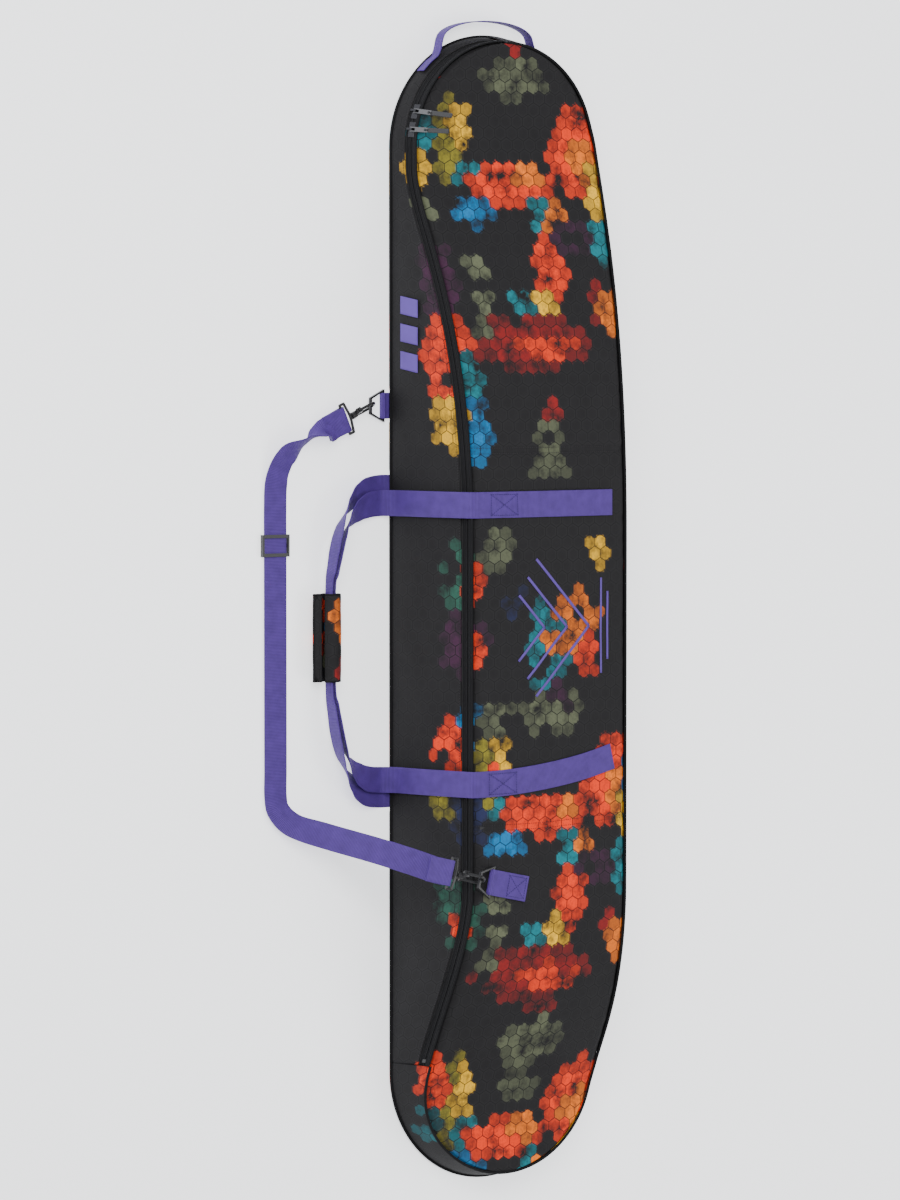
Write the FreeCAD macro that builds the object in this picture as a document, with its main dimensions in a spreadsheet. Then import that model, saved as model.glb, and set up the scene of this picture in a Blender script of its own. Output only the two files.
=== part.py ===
import FreeCAD
import Part
import Sketcher
import math
import os

# A padded snowboard bag lying on its back panel.  Millimetres, +X from nose to tail, -Y is the
# zipped side, +Z up.  The origin is the middle of the back panel's outer face.

doc = FreeCAD.newDocument("snowboard_bag")
Vec = FreeCAD.Vector

# ---------------------------------------------------------------- driving dimensions
SIZES = {
    # the shell
    "bag_length": 1684, "bag_width": 330, "bag_depth": 160, "end_depth": 56, "zip_draft": 0.28,
    "plain_draft": 0.12,
    "nose_flat": 192, "nose_ramp": 540, "nose_ease_low": 80, "nose_ease_high": 330,
    "tail_flat": 42, "tail_ramp": 400, "tail_ease_low": 150, "tail_ease_high": 100,
    "plain_nose_flat": 120, "plain_nose_ease_low": 60, "plain_nose_ease_high": 400,
    "plain_tail_flat": 122, "plain_tail_ease_low": 60, "plain_tail_ease_high": 200,
    "skin": 1.2, "back_skin": 2.4, "foam": 4, "lining": 0.6, "layer_gap": 0.3,
    "middle_panel_nose": -238, "middle_panel_tail": 309, "tail_gusset_from": 662,
    "piping_size": 2, "binding_width": 12, "corner_room": 8.5,
    # zip fastener
    "zip_band": 24, "zip_edge": 2, "zip_slot": 1.6, "tape_thick": 0.8, "coil_width": 2.6,
    "coil_thick": 2, "slider_long": 22, "slider_wide": 12, "slider_plate": 1.8,
    "slider_web": 0.6, "slider_room": 0.9, "slider_nose_x": -729, "slider_tail_x": -703,
    "crown_long": 10, "crown_high": 6, "crown_wide": 3, "crown_wall": 2, "crown_roof": 1.3,
    "plate_chamfer": 0.6, "pull_long": 30, "pull_wide": 7, "pull_thick": 1.5, "pull_lean": 68,
    "pull_slot_long": 3.5, "pull_slot_edge": 2.5, "pull_grip_long": 36, "pull_grip_wide": 7,
    "pull_grip_thick": 3, "pull_grip_round": 1.2, "pull_strand": 0.75, "zip_stop_long": 5,
    "zip_stop_high": 1,
    # webbing
    "webbing_width": 38, "webbing_thick": 1.6, "webbing_gap": 0.4, "strap_nose_x": -160,
    "strap_tail_x": 245, "strap_tail_end_x": 213, "strap_end_y": 120, "back_strap_shift": 22,
    "back_strap_long": 120, "leg_lift": 18, "handle_hinge_y": -183, "handle_hinge_z": 5,
    "loop_start": 1.5, "wall_room": 3.6,
    # hand grip
    "grip_start_x": -31, "grip_long": 128, "grip_y": -279, "grip_z": 19, "grip_radius": 15,
    "grip_wall": 4, "lip_reach": 15, "lip_thick": 2.6, "lip_gap": 1.6, "tape_patch": 0.6,
    "flap_room": 1.8,
    # nose grab handle
    "grab_from_y": -86, "grab_to_y": 74, "grab_reach": 24, "grab_z": 14, "grab_hinge": 10,
    "grab_gap": 4.2, "grab_webbing": 20,
    # rings, hooks and shoulder strap
    "ring_wide": 48, "ring_narrow": 24, "ring_deep": 30, "ring_thick": 3.6, "ring_bar": 3.6,
    "ring_upper_x": -302, "ring_upper_y": -179, "ring_upper_z": 5.05, "ring_upper_pitch": 13.5,
    "ring_lower_x": 387, "ring_lower_y": -97, "ring_lower_z": 165.4, "ring_lower_pitch": 16,
    "ring_lower_yaw": -12,
    "tab_long": 66, "eye_room": 0.7,
    "hook_wire": 4, "hook_inner": 7, "hook_long": 25, "barrel_long": 8, "barrel_radius": 5,
    "fork_long": 7, "fork_cheek": 1.8, "fork_deep": 3, "hook_base": 2,
    "hook_seat": 2.8, "hook_upper_x": 0.4, "hook_upper_y": -0.91, "hook_upper_z": 0,
    "hook_lower_x": -0.24, "hook_lower_y": -0.94, "hook_lower_z": -0.2,
    "stem_radius": 2, "stem_room": 0.35, "eye_wide": 41, "eye_deep": 13, 
    "gate_wide": 4, "gate_thick": 3.2, "gate_pin_radius": 0.9, "gate_pin_back": 4.5,
    "gate_room": 0.3, "stem_head": 1.4, "stem_head_long": 1.8, "hook_roll": 30,
    "strap_run_y": -364, "strap_run_z": 3, "strap_run_from": -190, "strap_run_to": 262,
    "glide_x": -102, "glide_long": 32, "glide_wide": 46, "glide_bar": 5, "glide_thick": 2,
}

sheet = doc.addObject("Spreadsheet::Sheet", "sizes")
for row, (alias, number) in enumerate(SIZES.items(), start=1):
    sheet.set("A%d" % row, alias)
    sheet.set("B%d" % row, str(number))
    sheet.setAlias("B%d" % row, alias)
doc.recompute()


def size(alias):
    """A driving dimension, read from the sheet."""
    return float(sheet.get(alias))


parts = []


def keep(obj, label):
    """Name a finished sub-part."""
    obj.Label = label
    parts.append(obj)
    return obj


def feature(label, shape):
    """A sub-part whose shape is worked out from the sheet."""
    obj = doc.addObject("Part::Feature", label)
    obj.Shape = shape
    obj.Placement = FreeCAD.Placement()
    return keep(obj, label)


# ---------------------------------------------------------------- sketched bodies
SKETCH_ORIGIN = -1
DRAFT_R = 20          # a first circle of corners, before the sizes move them


def plane(body, role):
    return [item for item in body.Origin.OriginFeatures if item.Role == role][0]


def outline(body, name, role, corners):
    """A closed sketch whose corners are expressions of the sheet's sizes."""
    sketch = body.newObject("Sketcher::SketchObject", name)
    sketch.AttachmentSupport = (plane(body, role), [""])
    sketch.MapMode = "FlatFace"
    count = len(corners)
    round_trip = [Vec(DRAFT_R * math.cos(2 * math.pi * index / count),
                      DRAFT_R * math.sin(2 * math.pi * index / count), 0) for index in range(count + 1)]
    for start, end in zip(round_trip, round_trip[1:]):
        sketch.addGeometry(Part.LineSegment(start, end), False)
    for index in range(count):
        sketch.addConstraint(Sketcher.Constraint("Coincident", index, 2, (index + 1) % count, 1))
    for index, (across, along) in enumerate(corners):
        for kind, text in (("DistanceX", across), ("DistanceY", along)):
            number = sketch.addConstraint(
                Sketcher.Constraint(kind, SKETCH_ORIGIN, 1, index, 1, float(index + 1)))
            label = "%s%d" % (kind[-1], index)
            sketch.renameConstraint(number, label)
            sketch.setExpression("Constraints." + label, text)
    return sketch


def pad(body, sketch, length, both=False):
    part = body.newObject("PartDesign::Pad", sketch.Name + "_pad")
    part.Profile = sketch
    part.setExpression("Length", length)
    part.Midplane = both
    return part


def pocket(body, sketch, length):
    """A cut that goes the same length to both sides of its sketch."""
    part = body.newObject("PartDesign::Pocket", sketch.Name + "_cut")
    part.Profile = sketch
    part.setExpression("Length", length)
    part.Midplane = True
    return part


def moulded(label, corners, thick, cuts, role="XY_Plane"):
    """A flat moulding: one outline padded to both sides, with pockets right through it."""
    body = doc.addObject("PartDesign::Body", label)
    pad(body, outline(body, label + "_outline", role, corners), thick, both=True)
    for number, cut in enumerate(cuts):
        doc.recompute()
        solid = body.Shape.Volume
        pocket(body, outline(body, "%s_opening%d" % (label, number), role, cut), thick + "*2")
        doc.recompute()
        if body.Shape.Volume >= solid:
            raise ValueError(label + ": an opening cut nothing")
    doc.recompute()
    return keep(body, label)


# ---------------------------------------------------------------- the shell's true shape
LENGTH = size("bag_length")
HALF = size("bag_width") / 2
DEPTH = size("bag_depth")
DRAFT = size("zip_draft")
GAP = size("layer_gap")
SKIN = size("skin")
FOAM = size("foam")
LINING = size("lining")
BACK = size("back_skin")
ABOVE = DEPTH + 30
FAR = LENGTH


def zip_half(height):
    """How far the zipped wall stands from the middle at a height: it leans in towards the front."""
    return HALF - DRAFT * height


def plain_half(height):
    """The same for the plain wall, which leans less."""
    return HALF - size("plain_draft") * height


def end_radius(height):
    return (zip_half(height) + plain_half(height)) / 2


def middle(height):
    """Where the round ends' centres lie across the bag at a height."""
    return (plain_half(height) - zip_half(height)) / 2


END_X = LENGTH / 2 - end_radius(0)


def end_ring(height, inset):
    """The bag's outline at one height: two straight sides and two round ends."""
    radius = end_radius(height) - inset
    centre = END_X
    shift = middle(height)
    corner = [Vec(-centre, shift - radius, height), Vec(centre, shift - radius, height),
              Vec(centre, shift + radius, height), Vec(-centre, shift + radius, height)]
    tail = Part.Arc(corner[1], Vec(centre + radius, shift, height), corner[2]).toShape()
    nose = Part.Arc(corner[3], Vec(-centre - radius, shift, height), corner[0]).toShape()
    sides = [Part.LineSegment(corner[0], corner[1]).toShape(),
             Part.LineSegment(corner[2], corner[3]).toShape()]
    return Part.Wire([sides[0], tail, sides[1], nose])


def tub(inset):
    """Everything inside the walls, taken in by an inset, from below the floor to above the front."""
    return Part.makeLoft([end_ring(-20, inset), end_ring(ABOVE, inset)], True, True)


def ramp(start, end, ease_low, ease_high, low, high):
    """A smooth rise between two levels, as one Bezier curve."""
    way = 1 if end > start else -1
    curve = Part.BezierCurve()
    curve.setPoles([Vec(start, 0, low), Vec(start + way * ease_low, 0, low),
                    Vec(end - way * ease_high, 0, high), Vec(end, 0, high)])
    return curve


NOSE_LOW = -LENGTH / 2 + size("nose_flat")
NOSE_HIGH = NOSE_LOW + size("nose_ramp")
TAIL_LOW = LENGTH / 2 - size("tail_flat")
TAIL_HIGH = TAIL_LOW - size("tail_ramp")
nose_curve = ramp(NOSE_LOW, NOSE_HIGH, size("nose_ease_low"), size("nose_ease_high"),
                  size("end_depth"), DEPTH)
tail_curve = ramp(TAIL_LOW, TAIL_HIGH, size("tail_ease_low"), size("tail_ease_high"),
                  size("end_depth"), DEPTH)

plain_low = -LENGTH / 2 + size("plain_nose_flat")
plain_nose_curve = ramp(plain_low, NOSE_HIGH, size("plain_nose_ease_low"),
                        size("plain_nose_ease_high"), size("end_depth"), DEPTH)
plain_foot = LENGTH / 2 - size("plain_tail_flat")
plain_tail_curve = ramp(plain_foot, TAIL_HIGH, size("plain_tail_ease_low"),
                        size("plain_tail_ease_high"), size("end_depth"), DEPTH)


def profile_height(along, rise, fall):
    """The height of one side view at a place along the bag."""
    low_nose, high_nose = rise.getPole(1).x, rise.getPole(4).x
    low_tail, high_tail = fall.getPole(1).x, fall.getPole(4).x
    if along < low_nose or along > low_tail:
        return size("end_depth")
    if high_nose <= along <= high_tail:
        return DEPTH
    curve, rising = (rise, 1) if along < high_nose else (fall, -1)
    low, high = 0.0, 1.0
    while high - low > 1e-9:
        half = (low + high) / 2
        if (curve.value(half).x - along) * rising < 0:
            low = half
        else:
            high = half
    return curve.value(low).z


def front_height(along):
    """The height of the front panel's outer face along the zipped side."""
    return profile_height(along, nose_curve, tail_curve)


def highest_front(along):
    """The higher of the two sides at a place along the bag."""
    return max(front_height(along), profile_height(along, plain_nose_curve, plain_tail_curve))


def side_profile(rise, fall, across):
    """The bag's side view at one side, as a closed wire from far below up to the front."""
    end = size("end_depth")
    low, high = rise.getPole(1), rise.getPole(4)
    top_end, foot = fall.getPole(4), fall.getPole(1)
    line = Part.LineSegment
    edges = [line(Vec(-FAR, 0, end), low).toShape(), rise.toShape(), line(high, top_end).toShape(),
             fall.toShape(), line(foot, Vec(FAR, 0, end)).toShape(),
             line(Vec(FAR, 0, end), Vec(FAR, 0, -FAR)).toShape(),
             line(Vec(FAR, 0, -FAR), Vec(-FAR, 0, -FAR)).toShape(),
             line(Vec(-FAR, 0, -FAR), Vec(-FAR, 0, end)).toShape()]
    wire = Part.Wire(Part.__sortEdges__(edges))
    wire.translate(Vec(0, across, 0))
    return wire


def under(drop):
    """Everything below the front panel's outer face, lowered by a drop.

    The zipped side and the plain side have a side view each, and the front runs straight between."""
    zip_curves, plain_curves = (nose_curve, tail_curve), (plain_nose_curve, plain_tail_curve)
    sides = [side_profile(*zip_curves, -2 * HALF), side_profile(*zip_curves, -HALF),
             side_profile(*plain_curves, HALF), side_profile(*plain_curves, 2 * HALF)]
    solid = Part.makeLoft(sides, True, True)
    solid.translate(Vec(0, 0, -drop))
    return solid


def block(low, high):
    """An upright box from its lowest to its highest corner."""
    span = [high[i] - low[i] for i in range(3)]
    return Part.makeBox(span[0], span[1], span[2], Vec(*low))


def wall(inset, thick, low, drop):
    """A wall layer all round the bag, standing on a level and stopping below the front."""
    layer = tub(inset).cut(tub(inset + thick))
    return layer.common(under(drop)).common(block((-FAR, -FAR, low), (FAR, FAR, ABOVE)))


ZIP_SIDE = ((-FAR, -FAR, -FAR), (size("tail_gusset_from") - GAP / 2, -GAP / 2, FAR))
PLAIN_SIDE = ((-FAR, GAP / 2, -FAR), (size("tail_gusset_from") - GAP / 2, FAR, FAR))
TAIL_END = ((size("tail_gusset_from") + GAP / 2, -FAR, -FAR), (FAR, FAR, FAR))

FLOOR_LAYERS = [0, BACK + GAP, BACK + FOAM + 2 * GAP]
INSETS = [0, SKIN + GAP, SKIN + FOAM + 2 * GAP]
ZIP_DROP = size("zip_edge") + size("zip_band")
ZIP_MIDDLE = size("zip_edge") + size("zip_band") / 2

# ---------------------------------------------------------------- back panel and walls
STRAP_X = {"upper": size("strap_nose_x"), "lower": size("strap_tail_x")}
STRAP_SHIFT = {"upper": -size("back_strap_shift"), "lower": size("back_strap_shift")}
WEB = size("webbing_width")
THICK = size("webbing_thick")
WEB_GAP = size("webbing_gap")
RECESS = THICK + WEB_GAP + GAP
TAB_LONG = size("tab_long")


def under_recess(centre, inner):
    """The room that webbing sewn under the back panel takes."""
    return block((centre - WEB / 2 - WEB_GAP, -HALF - 10, -1),
                 (centre + WEB / 2 + WEB_GAP, inner, RECESS))


back_x = {side: STRAP_X[side] + STRAP_SHIFT[side] for side in STRAP_X}
back_inner = -HALF + size("back_strap_long")
tab_inner = -HALF + TAB_LONG
back = tub(0).common(block((-FAR, -FAR, 0), (FAR, FAR, BACK)))
for side in back_x:
    back = back.cut(under_recess(back_x[side], back_inner + WEB_GAP))
back = back.cut(under_recess(size("ring_upper_x"), tab_inner + WEB_GAP))
feature("back_panel", back)
feature("back_foam", tub(INSETS[2]).common(
    block((-FAR, -FAR, FLOOR_LAYERS[1]), (FAR, FAR, FLOOR_LAYERS[1] + FOAM))))
feature("back_lining", tub(INSETS[2] + LINING + GAP).common(
    block((-FAR, -FAR, FLOOR_LAYERS[2]), (FAR, FAR, FLOOR_LAYERS[2] + LINING))))

wall_foot = BACK + GAP
lid = SKIN + GAP
skin_wall = wall(INSETS[0], SKIN, wall_foot, lid)
foam_wall = wall(INSETS[1], FOAM, wall_foot, lid + FOAM + GAP)
zip_foam_wall = wall(INSETS[1], FOAM, wall_foot, ZIP_DROP + GAP)
lining_wall = wall(INSETS[2], LINING, FLOOR_LAYERS[1] + FOAM + GAP, ZIP_DROP + GAP)
below_zip = under(ZIP_DROP + GAP)

feature("zip_side_gusset", skin_wall.common(below_zip).common(block(*ZIP_SIDE)))
feature("plain_side_gusset", skin_wall.common(block(*PLAIN_SIDE)))
feature("tail_gusset", skin_wall.common(block(*TAIL_END)))
feature("zip_side_foam", zip_foam_wall.common(block(*ZIP_SIDE)))
feature("plain_side_foam", foam_wall.common(block(*PLAIN_SIDE)))
feature("tail_foam", foam_wall.common(block(*TAIL_END)))
feature("side_lining", lining_wall)

# ---------------------------------------------------------------- front panels
front_skin = tub(0).common(under(0)).cut(under(SKIN))
panel_cuts = [-FAR, size("middle_panel_nose"), size("middle_panel_tail"), FAR]
for number, label in enumerate(["front_nose_panel", "front_middle_panel", "front_tail_panel"]):
    feature(label, front_skin.common(block((panel_cuts[number] + GAP / 2, -FAR, -FAR),
                                           (panel_cuts[number + 1] - GAP / 2, FAR, FAR))))
CORNER = size("corner_room")
feature("front_foam", tub(CORNER).common(under(SKIN + GAP)).cut(under(SKIN + GAP + FOAM)))
feature("front_lining", tub(CORNER).common(under(SKIN + FOAM + 2 * GAP)).cut(
    under(SKIN + FOAM + LINING + 2 * GAP)))

# ---------------------------------------------------------------- piping and seam binding
PIPE = size("piping_size")
bead = tub(-GAP - PIPE).cut(tub(-GAP))
front_bead = bead.common(under(0)).cut(under(2 * PIPE))
front_bead = front_bead.common(block(*PLAIN_SIDE)).fuse(front_bead.common(block(
    (size("tail_gusset_from") - GAP / 2, -FAR, -FAR), (FAR, FAR, FAR)))).removeSplitter()
feature("front_piping", front_bead)
feature("back_piping", bead.common(block((-FAR, -FAR, wall_foot), (FAR, FAR, wall_foot + 2 * PIPE))))
BIND = size("binding_width")
bind_inset = INSETS[2] + LINING + GAP
bind_foot = FLOOR_LAYERS[2] + LINING + GAP
feature("back_seam_binding", wall(bind_inset, LINING, bind_foot, 0).common(
    block((-FAR, -FAR, bind_foot), (FAR, FAR, bind_foot + BIND))))

# ---------------------------------------------------------------- zip fastener
zip_region = block(*ZIP_SIDE)
TAPE = size("tape_thick")
SLOT = size("zip_slot") / 2
COIL_W = size("coil_width")
COIL_T = size("coil_thick")


def zip_strip(inset, thick, high_drop, low_drop):
    """A strip of the zip that follows the front seam at a set drop below it."""
    strip = tub(inset).cut(tub(inset + thick))
    return strip.common(under(high_drop)).cut(under(low_drop)).common(zip_region)


feature("zip_tape_front", zip_strip(0, TAPE, size("zip_edge"), ZIP_MIDDLE - SLOT))
feature("zip_tape_side", zip_strip(0, TAPE, ZIP_MIDDLE + SLOT, ZIP_DROP))
coil_inset = TAPE + GAP / 2
feature("zip_coil_front", zip_strip(coil_inset, COIL_T, ZIP_MIDDLE - SLOT - COIL_W, ZIP_MIDDLE - SLOT))
feature("zip_coil_side", zip_strip(coil_inset, COIL_T, ZIP_MIDDLE + SLOT, ZIP_MIDDLE + SLOT + COIL_W))
LEAN = math.degrees(math.atan(DRAFT))
NOSE_Z = size("end_depth") - ZIP_MIDDLE
NOSE_R = end_radius(NOSE_Z)
NOSE_X = -END_X
NOSE_Y = middle(NOSE_Z)


def on_wall(along):
    """A placement on the zip: X along the seam, Y out of the wall, Z up the wall."""
    if along < NOSE_X:
        turn = math.degrees(math.asin((NOSE_X - along) / NOSE_R))
    else:
        turn = 0.0
    spot = Vec(0, -NOSE_R, NOSE_Z)
    spin = FreeCAD.Rotation(Vec(0, 0, 1), -turn)
    base = spin.multVec(spot) + Vec(NOSE_X + max(along - NOSE_X, 0), NOSE_Y, 0)
    face = FreeCAD.Rotation(Vec(0, 0, 1), 180)
    tilt = FreeCAD.Rotation(Vec(1, 0, 0), -LEAN)
    return FreeCAD.Placement(base, spin.multiply(tilt).multiply(face))


stop_long = size("zip_stop_long")
tail_stop_x = size("tail_gusset_from") - stop_long * 2
stop_drop = ZIP_MIDDLE + 2 * COIL_W
stops = tub(-GAP - size("zip_stop_high")).cut(tub(-GAP))
stops = stops.common(under(ZIP_MIDDLE - 2 * COIL_W)).cut(under(stop_drop))
nose_stop = stops.common(block((-FAR, -stop_long - GAP, -FAR), (0, -GAP, FAR)))
tail_stop = stops.common(block((tail_stop_x, -FAR, -FAR), (tail_stop_x + stop_long, 0, FAR)))
feature("zip_end_stops", Part.makeCompound([nose_stop, tail_stop]))

ROOM = size("slider_room")
PLATE = size("slider_plate")
CROWN = size("crown_high")
CROWN_WALL = size("crown_wall")
CROWN_ROOF = size("crown_roof")
slider_inner = -(TAPE + GAP / 2 + COIL_T + ROOM)


def slider_shape():
    """A slider: an outer and an inner plate joined by a web, with an arched crown for the pull."""
    long, wide = size("slider_long"), size("slider_wide")
    outer = block((-long / 2, ROOM, -wide / 2), (long / 2, ROOM + PLATE, wide / 2))
    outer = outer.makeChamfer(size("plate_chamfer"), outer.Edges)
    inner = block((-long / 2, slider_inner - PLATE, -wide / 2), (long / 2, slider_inner, wide / 2))
    inner = inner.makeChamfer(size("plate_chamfer"), inner.Edges)
    web = block((-long / 4, slider_inner - PLATE / 2, -size("slider_web") / 2),
                (long / 4, ROOM + PLATE / 2, size("slider_web") / 2))
    web.rotate(Vec(), Vec(1, 0, 0), -LEAN)
    crown_long, crown_wide = size("crown_long"), size("crown_wide")
    top = ROOM + PLATE + CROWN
    crown = block((-crown_wide / 2, ROOM + PLATE / 2, -crown_long / 2),
                  (crown_wide / 2, top, crown_long / 2))
    hole = block((-crown_wide, ROOM + PLATE, -crown_long / 2 + CROWN_WALL),
                 (crown_wide, top - CROWN_ROOF, crown_long / 2 - CROWN_WALL))
    return outer.fuse([inner, web, crown.cut(hole)]).removeSplitter()


def placed(label, shape, placement):
    obj = doc.addObject("Part::Feature", label)
    obj.Shape = shape
    obj.Placement = placement
    return keep(obj, label)


def pull_shape():
    """A pull tab: a bar that turns in the crown, two cheeks, a plate and a slot for its grip."""
    long, wide, thick = size("pull_long"), size("pull_wide"), size("pull_thick")
    hole = size("crown_wide") / 2 + GAP
    plate = block((-wide / 2, -thick / 2, -thick / 2), (wide / 2, thick / 2, long))
    eye = block((-hole, -thick, thick / 2), (hole, thick, size("crown_long") / 2 + 2 * thick))
    slot_end = long - size("pull_slot_edge")
    slot = block((-hole, -thick, slot_end - size("pull_slot_long")), (hole, thick, slot_end))
    return plate.cut(eye).cut(slot)


def pull_grip_shape():
    """The soft grip on the pull tab's end, with a strand through the tab's slot."""
    long, wide, thick = size("pull_grip_long"), size("pull_grip_wide"), size("pull_grip_thick")
    bridge = size("pull_slot_edge")
    strand = size("pull_strand")
    loop_radius = math.hypot(bridge, size("pull_thick")) / 2 + 2 * GAP + strand
    loop_centre = size("pull_long") - bridge / 2
    start = loop_centre + loop_radius - strand / 2
    grip = block((-wide / 2, -thick / 2, start), (wide / 2, thick / 2, start + long))
    grip = grip.makeFillet(size("pull_grip_round"), grip.Edges)
    ring = Part.makeTorus(loop_radius, strand, Vec(0, 0, loop_centre), Vec(1, 0, 0))
    return grip.fuse(ring).removeSplitter()


PIVOT_Y = ROOM + PLATE + (CROWN - CROWN_ROOF) / 2
for where in ("nose", "tail"):
    at = on_wall(size("slider_%s_x" % where))
    placed("zip_slider_" + where, slider_shape(), at)
    tip_in = FreeCAD.Rotation(Vec(1, 0, 0), 90 - size("pull_lean") - LEAN)
    hang = at.multiply(FreeCAD.Placement(Vec(0, PIVOT_Y, 0), tip_in))
    placed("zip_pull_" + where, pull_shape(), hang)
    placed("pull_grip_" + where, pull_grip_shape(), hang)

# ---------------------------------------------------------------- webbing


def ribbon(points, across, wide, thick):
    """Flat webbing along a route: a ruled solid through one rectangle at each point."""
    sections = []
    count = len(points)
    widths = wide if isinstance(wide, list) else [wide] * count
    for index, point in enumerate(points):
        ahead = points[min(index + 1, count - 1)] - points[max(index - 1, 0)]
        ahead.normalize()
        side = across[index] - ahead * across[index].dot(ahead)
        side.normalize()
        face = ahead.cross(side)
        corners = [point + side * (widths[index] / 2 * a) + face * (thick / 2 * b)
                   for a, b in ((-1, -1), (1, -1), (1, 1), (-1, 1), (-1, -1))]
        sections.append(Part.makePolygon(corners))
    return Part.makeLoft(sections, True, True)


def curve_points(poles, count):
    """Evenly numbered places along one Bezier curve."""
    curve = Part.BezierCurve()
    curve.setPoles(poles)
    return [curve.value(index / (count - 1.0)) for index in range(count)]


ALONG = Vec(1, 0, 0)
UP = Vec(0, 0, 1)
WALL_ROOM = size("wall_room")
hinge_y, hinge_z = size("handle_hinge_y"), size("handle_hinge_z")
flat_y = -zip_half(DEPTH)
END_Y = size("strap_end_y")


def over_the_wall(along):
    """Where a front strap lies: across the front panel, over its edge and down the zipped wall."""
    top = max(highest_front(along - WEB / 2), highest_front(along + WEB / 2)) + WEB_GAP + THICK / 2
    wall_points = [Vec(along, -zip_half(height) - WALL_ROOM, height)
                   for height in (top - 10, top / 2, 24)]
    edge = [Vec(along, flat_y, top + 0.3), Vec(along, flat_y - 3.2, top - 1.2)]
    return edge + wall_points + [
        Vec(along, hinge_y + 8, hinge_z + 4), Vec(along, hinge_y + 1, hinge_z)]


for side in STRAP_X:
    start = STRAP_X[side]
    end = start if side == "upper" else size("strap_tail_end_x")
    route = over_the_wall(start)
    sewn = [Vec(start + (end - start) * share ** 2, flat_y + (END_Y - flat_y) * share, route[0].z - 0.3)
            for share in (1.0, 0.75, 0.5, 0.25, 0.05)]
    route = sewn + route
    feature("front_haul_strap_" + side, ribbon(route, [ALONG] * len(route), WEB, THICK))
    shift = back_x[side]
    low = WEB_GAP / 2 + THICK / 2
    route = [Vec(shift, back_inner, low), Vec(shift, -HALF, low), Vec(shift, hinge_y + 1, low)]
    feature("back_haul_strap_" + side, ribbon(route, [ALONG] * 3, WEB, THICK))

# ---------------------------------------------------------------- haul handle
GRIP_Y, GRIP_Z = size("grip_y"), size("grip_z")
GRIP_START = size("grip_start_x")
GRIP_LONG = size("grip_long")
GRIP_END = GRIP_START + GRIP_LONG
GRIP_R = size("grip_radius")
GRIP_WALL = size("grip_wall")
grip_side = Vec(0, 0.1, 1)
LEG_STEPS = 11
LEG_LIFT = size("leg_lift")
folded = (GRIP_R - GRIP_WALL) * 1.5


def handle_leg(from_x, from_z, to_x, grip_shift):
    """Half of a handle loop: off the bag, round a quarter turn and up to the grip's mouth."""
    way = 1 if to_x > from_x else -1
    inner_y = GRIP_Y + grip_shift
    start = Vec(from_x, hinge_y - size("loop_start"), from_z)
    end = Vec(to_x, inner_y, GRIP_Z)
    poles = [start, Vec(from_x, inner_y * 0.7 + start.y * 0.3, from_z + LEG_LIFT),
             Vec(from_x + way * abs(to_x - from_x) * 0.35, inner_y, GRIP_Z + LEG_LIFT), end]
    points = curve_points(poles, LEG_STEPS)
    across, widths = [], []
    for index in range(LEG_STEPS):
        share = index / (LEG_STEPS - 1.0)
        across.append(ALONG * -way * (1 - share) + grip_side * share ** 1.2)
        widths.append(WEB + (folded - WEB) * share ** 2)
    return points, across, widths


def handle_loop(xs, from_z, grip_shift):
    """A whole loop of webbing: two legs and the folded stretch that runs inside the grip."""
    first = handle_leg(xs[0], from_z, GRIP_START - 4, grip_shift)
    last = handle_leg(xs[1], from_z, GRIP_END + 4, grip_shift)
    points, across, widths = [first[i] + last[i][::-1] for i in range(3)]
    return ribbon(points, across, widths, THICK)


LOOP_APART = THICK + 1
feature("front_handle_loop", handle_loop([STRAP_X["upper"], STRAP_X["lower"]], hinge_z, LOOP_APART))
feature("back_handle_loop", handle_loop([back_x["upper"], back_x["lower"]],
                                        WEB_GAP + THICK / 2 + GAP, -LOOP_APART))

LIP = size("lip_reach")
LIP_T = size("lip_thick")
LIP_GAP = size("lip_gap")
PATCH = size("tape_patch")
along_x = Vec(1, 0, 0)
grip_centre = Vec(GRIP_START, GRIP_Y, GRIP_Z)
wrap = Part.makeCylinder(GRIP_R, GRIP_LONG, grip_centre, along_x)
lower_lip = block((GRIP_START, GRIP_Y - GRIP_R - LIP, GRIP_Z - LIP_GAP / 2 - LIP_T),
                  (GRIP_END, GRIP_Y, GRIP_Z - LIP_GAP / 2))
wrap = wrap.fuse(lower_lip).cut(Part.makeCylinder(GRIP_R - GRIP_WALL, GRIP_LONG, grip_centre, along_x))
mouth = block((GRIP_START - 1, GRIP_Y - GRIP_R - 1, GRIP_Z - LIP_GAP / 2),
              (GRIP_END + 1, GRIP_Y - GRIP_R + GRIP_WALL + 2, GRIP_Z + LIP_GAP / 2))
feature("grip_wrap", wrap.cut(mouth).removeSplitter())
FLAP_Y = GRIP_Y - GRIP_R - size("flap_room")
flap_low = GRIP_Z + LIP_GAP / 2
flap = block((GRIP_START, GRIP_Y - GRIP_R - LIP, flap_low), (GRIP_END, FLAP_Y, flap_low + LIP_T))
corner_edges = [edge for edge in flap.Edges
                if edge.BoundBox.ZLength > LIP_T / 2 and edge.BoundBox.YMax < FLAP_Y - 1]
feature("grip_flap", flap.makeFillet(LIP * 0.6, corner_edges))
patch_low_y = GRIP_Y - GRIP_R - LIP + LIP * 0.3
patch_ends = (GRIP_START + LIP * 0.7, GRIP_END - LIP * 0.7)
feature("grip_hook_patch", block((patch_ends[0], patch_low_y, flap_low - PATCH),
                                 (patch_ends[1], FLAP_Y - 1, flap_low)))
feature("grip_loop_patch", block((patch_ends[0], patch_low_y, GRIP_Z - LIP_GAP / 2),
                                 (patch_ends[1], FLAP_Y - 1, GRIP_Z - LIP_GAP / 2 + PATCH)))

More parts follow.
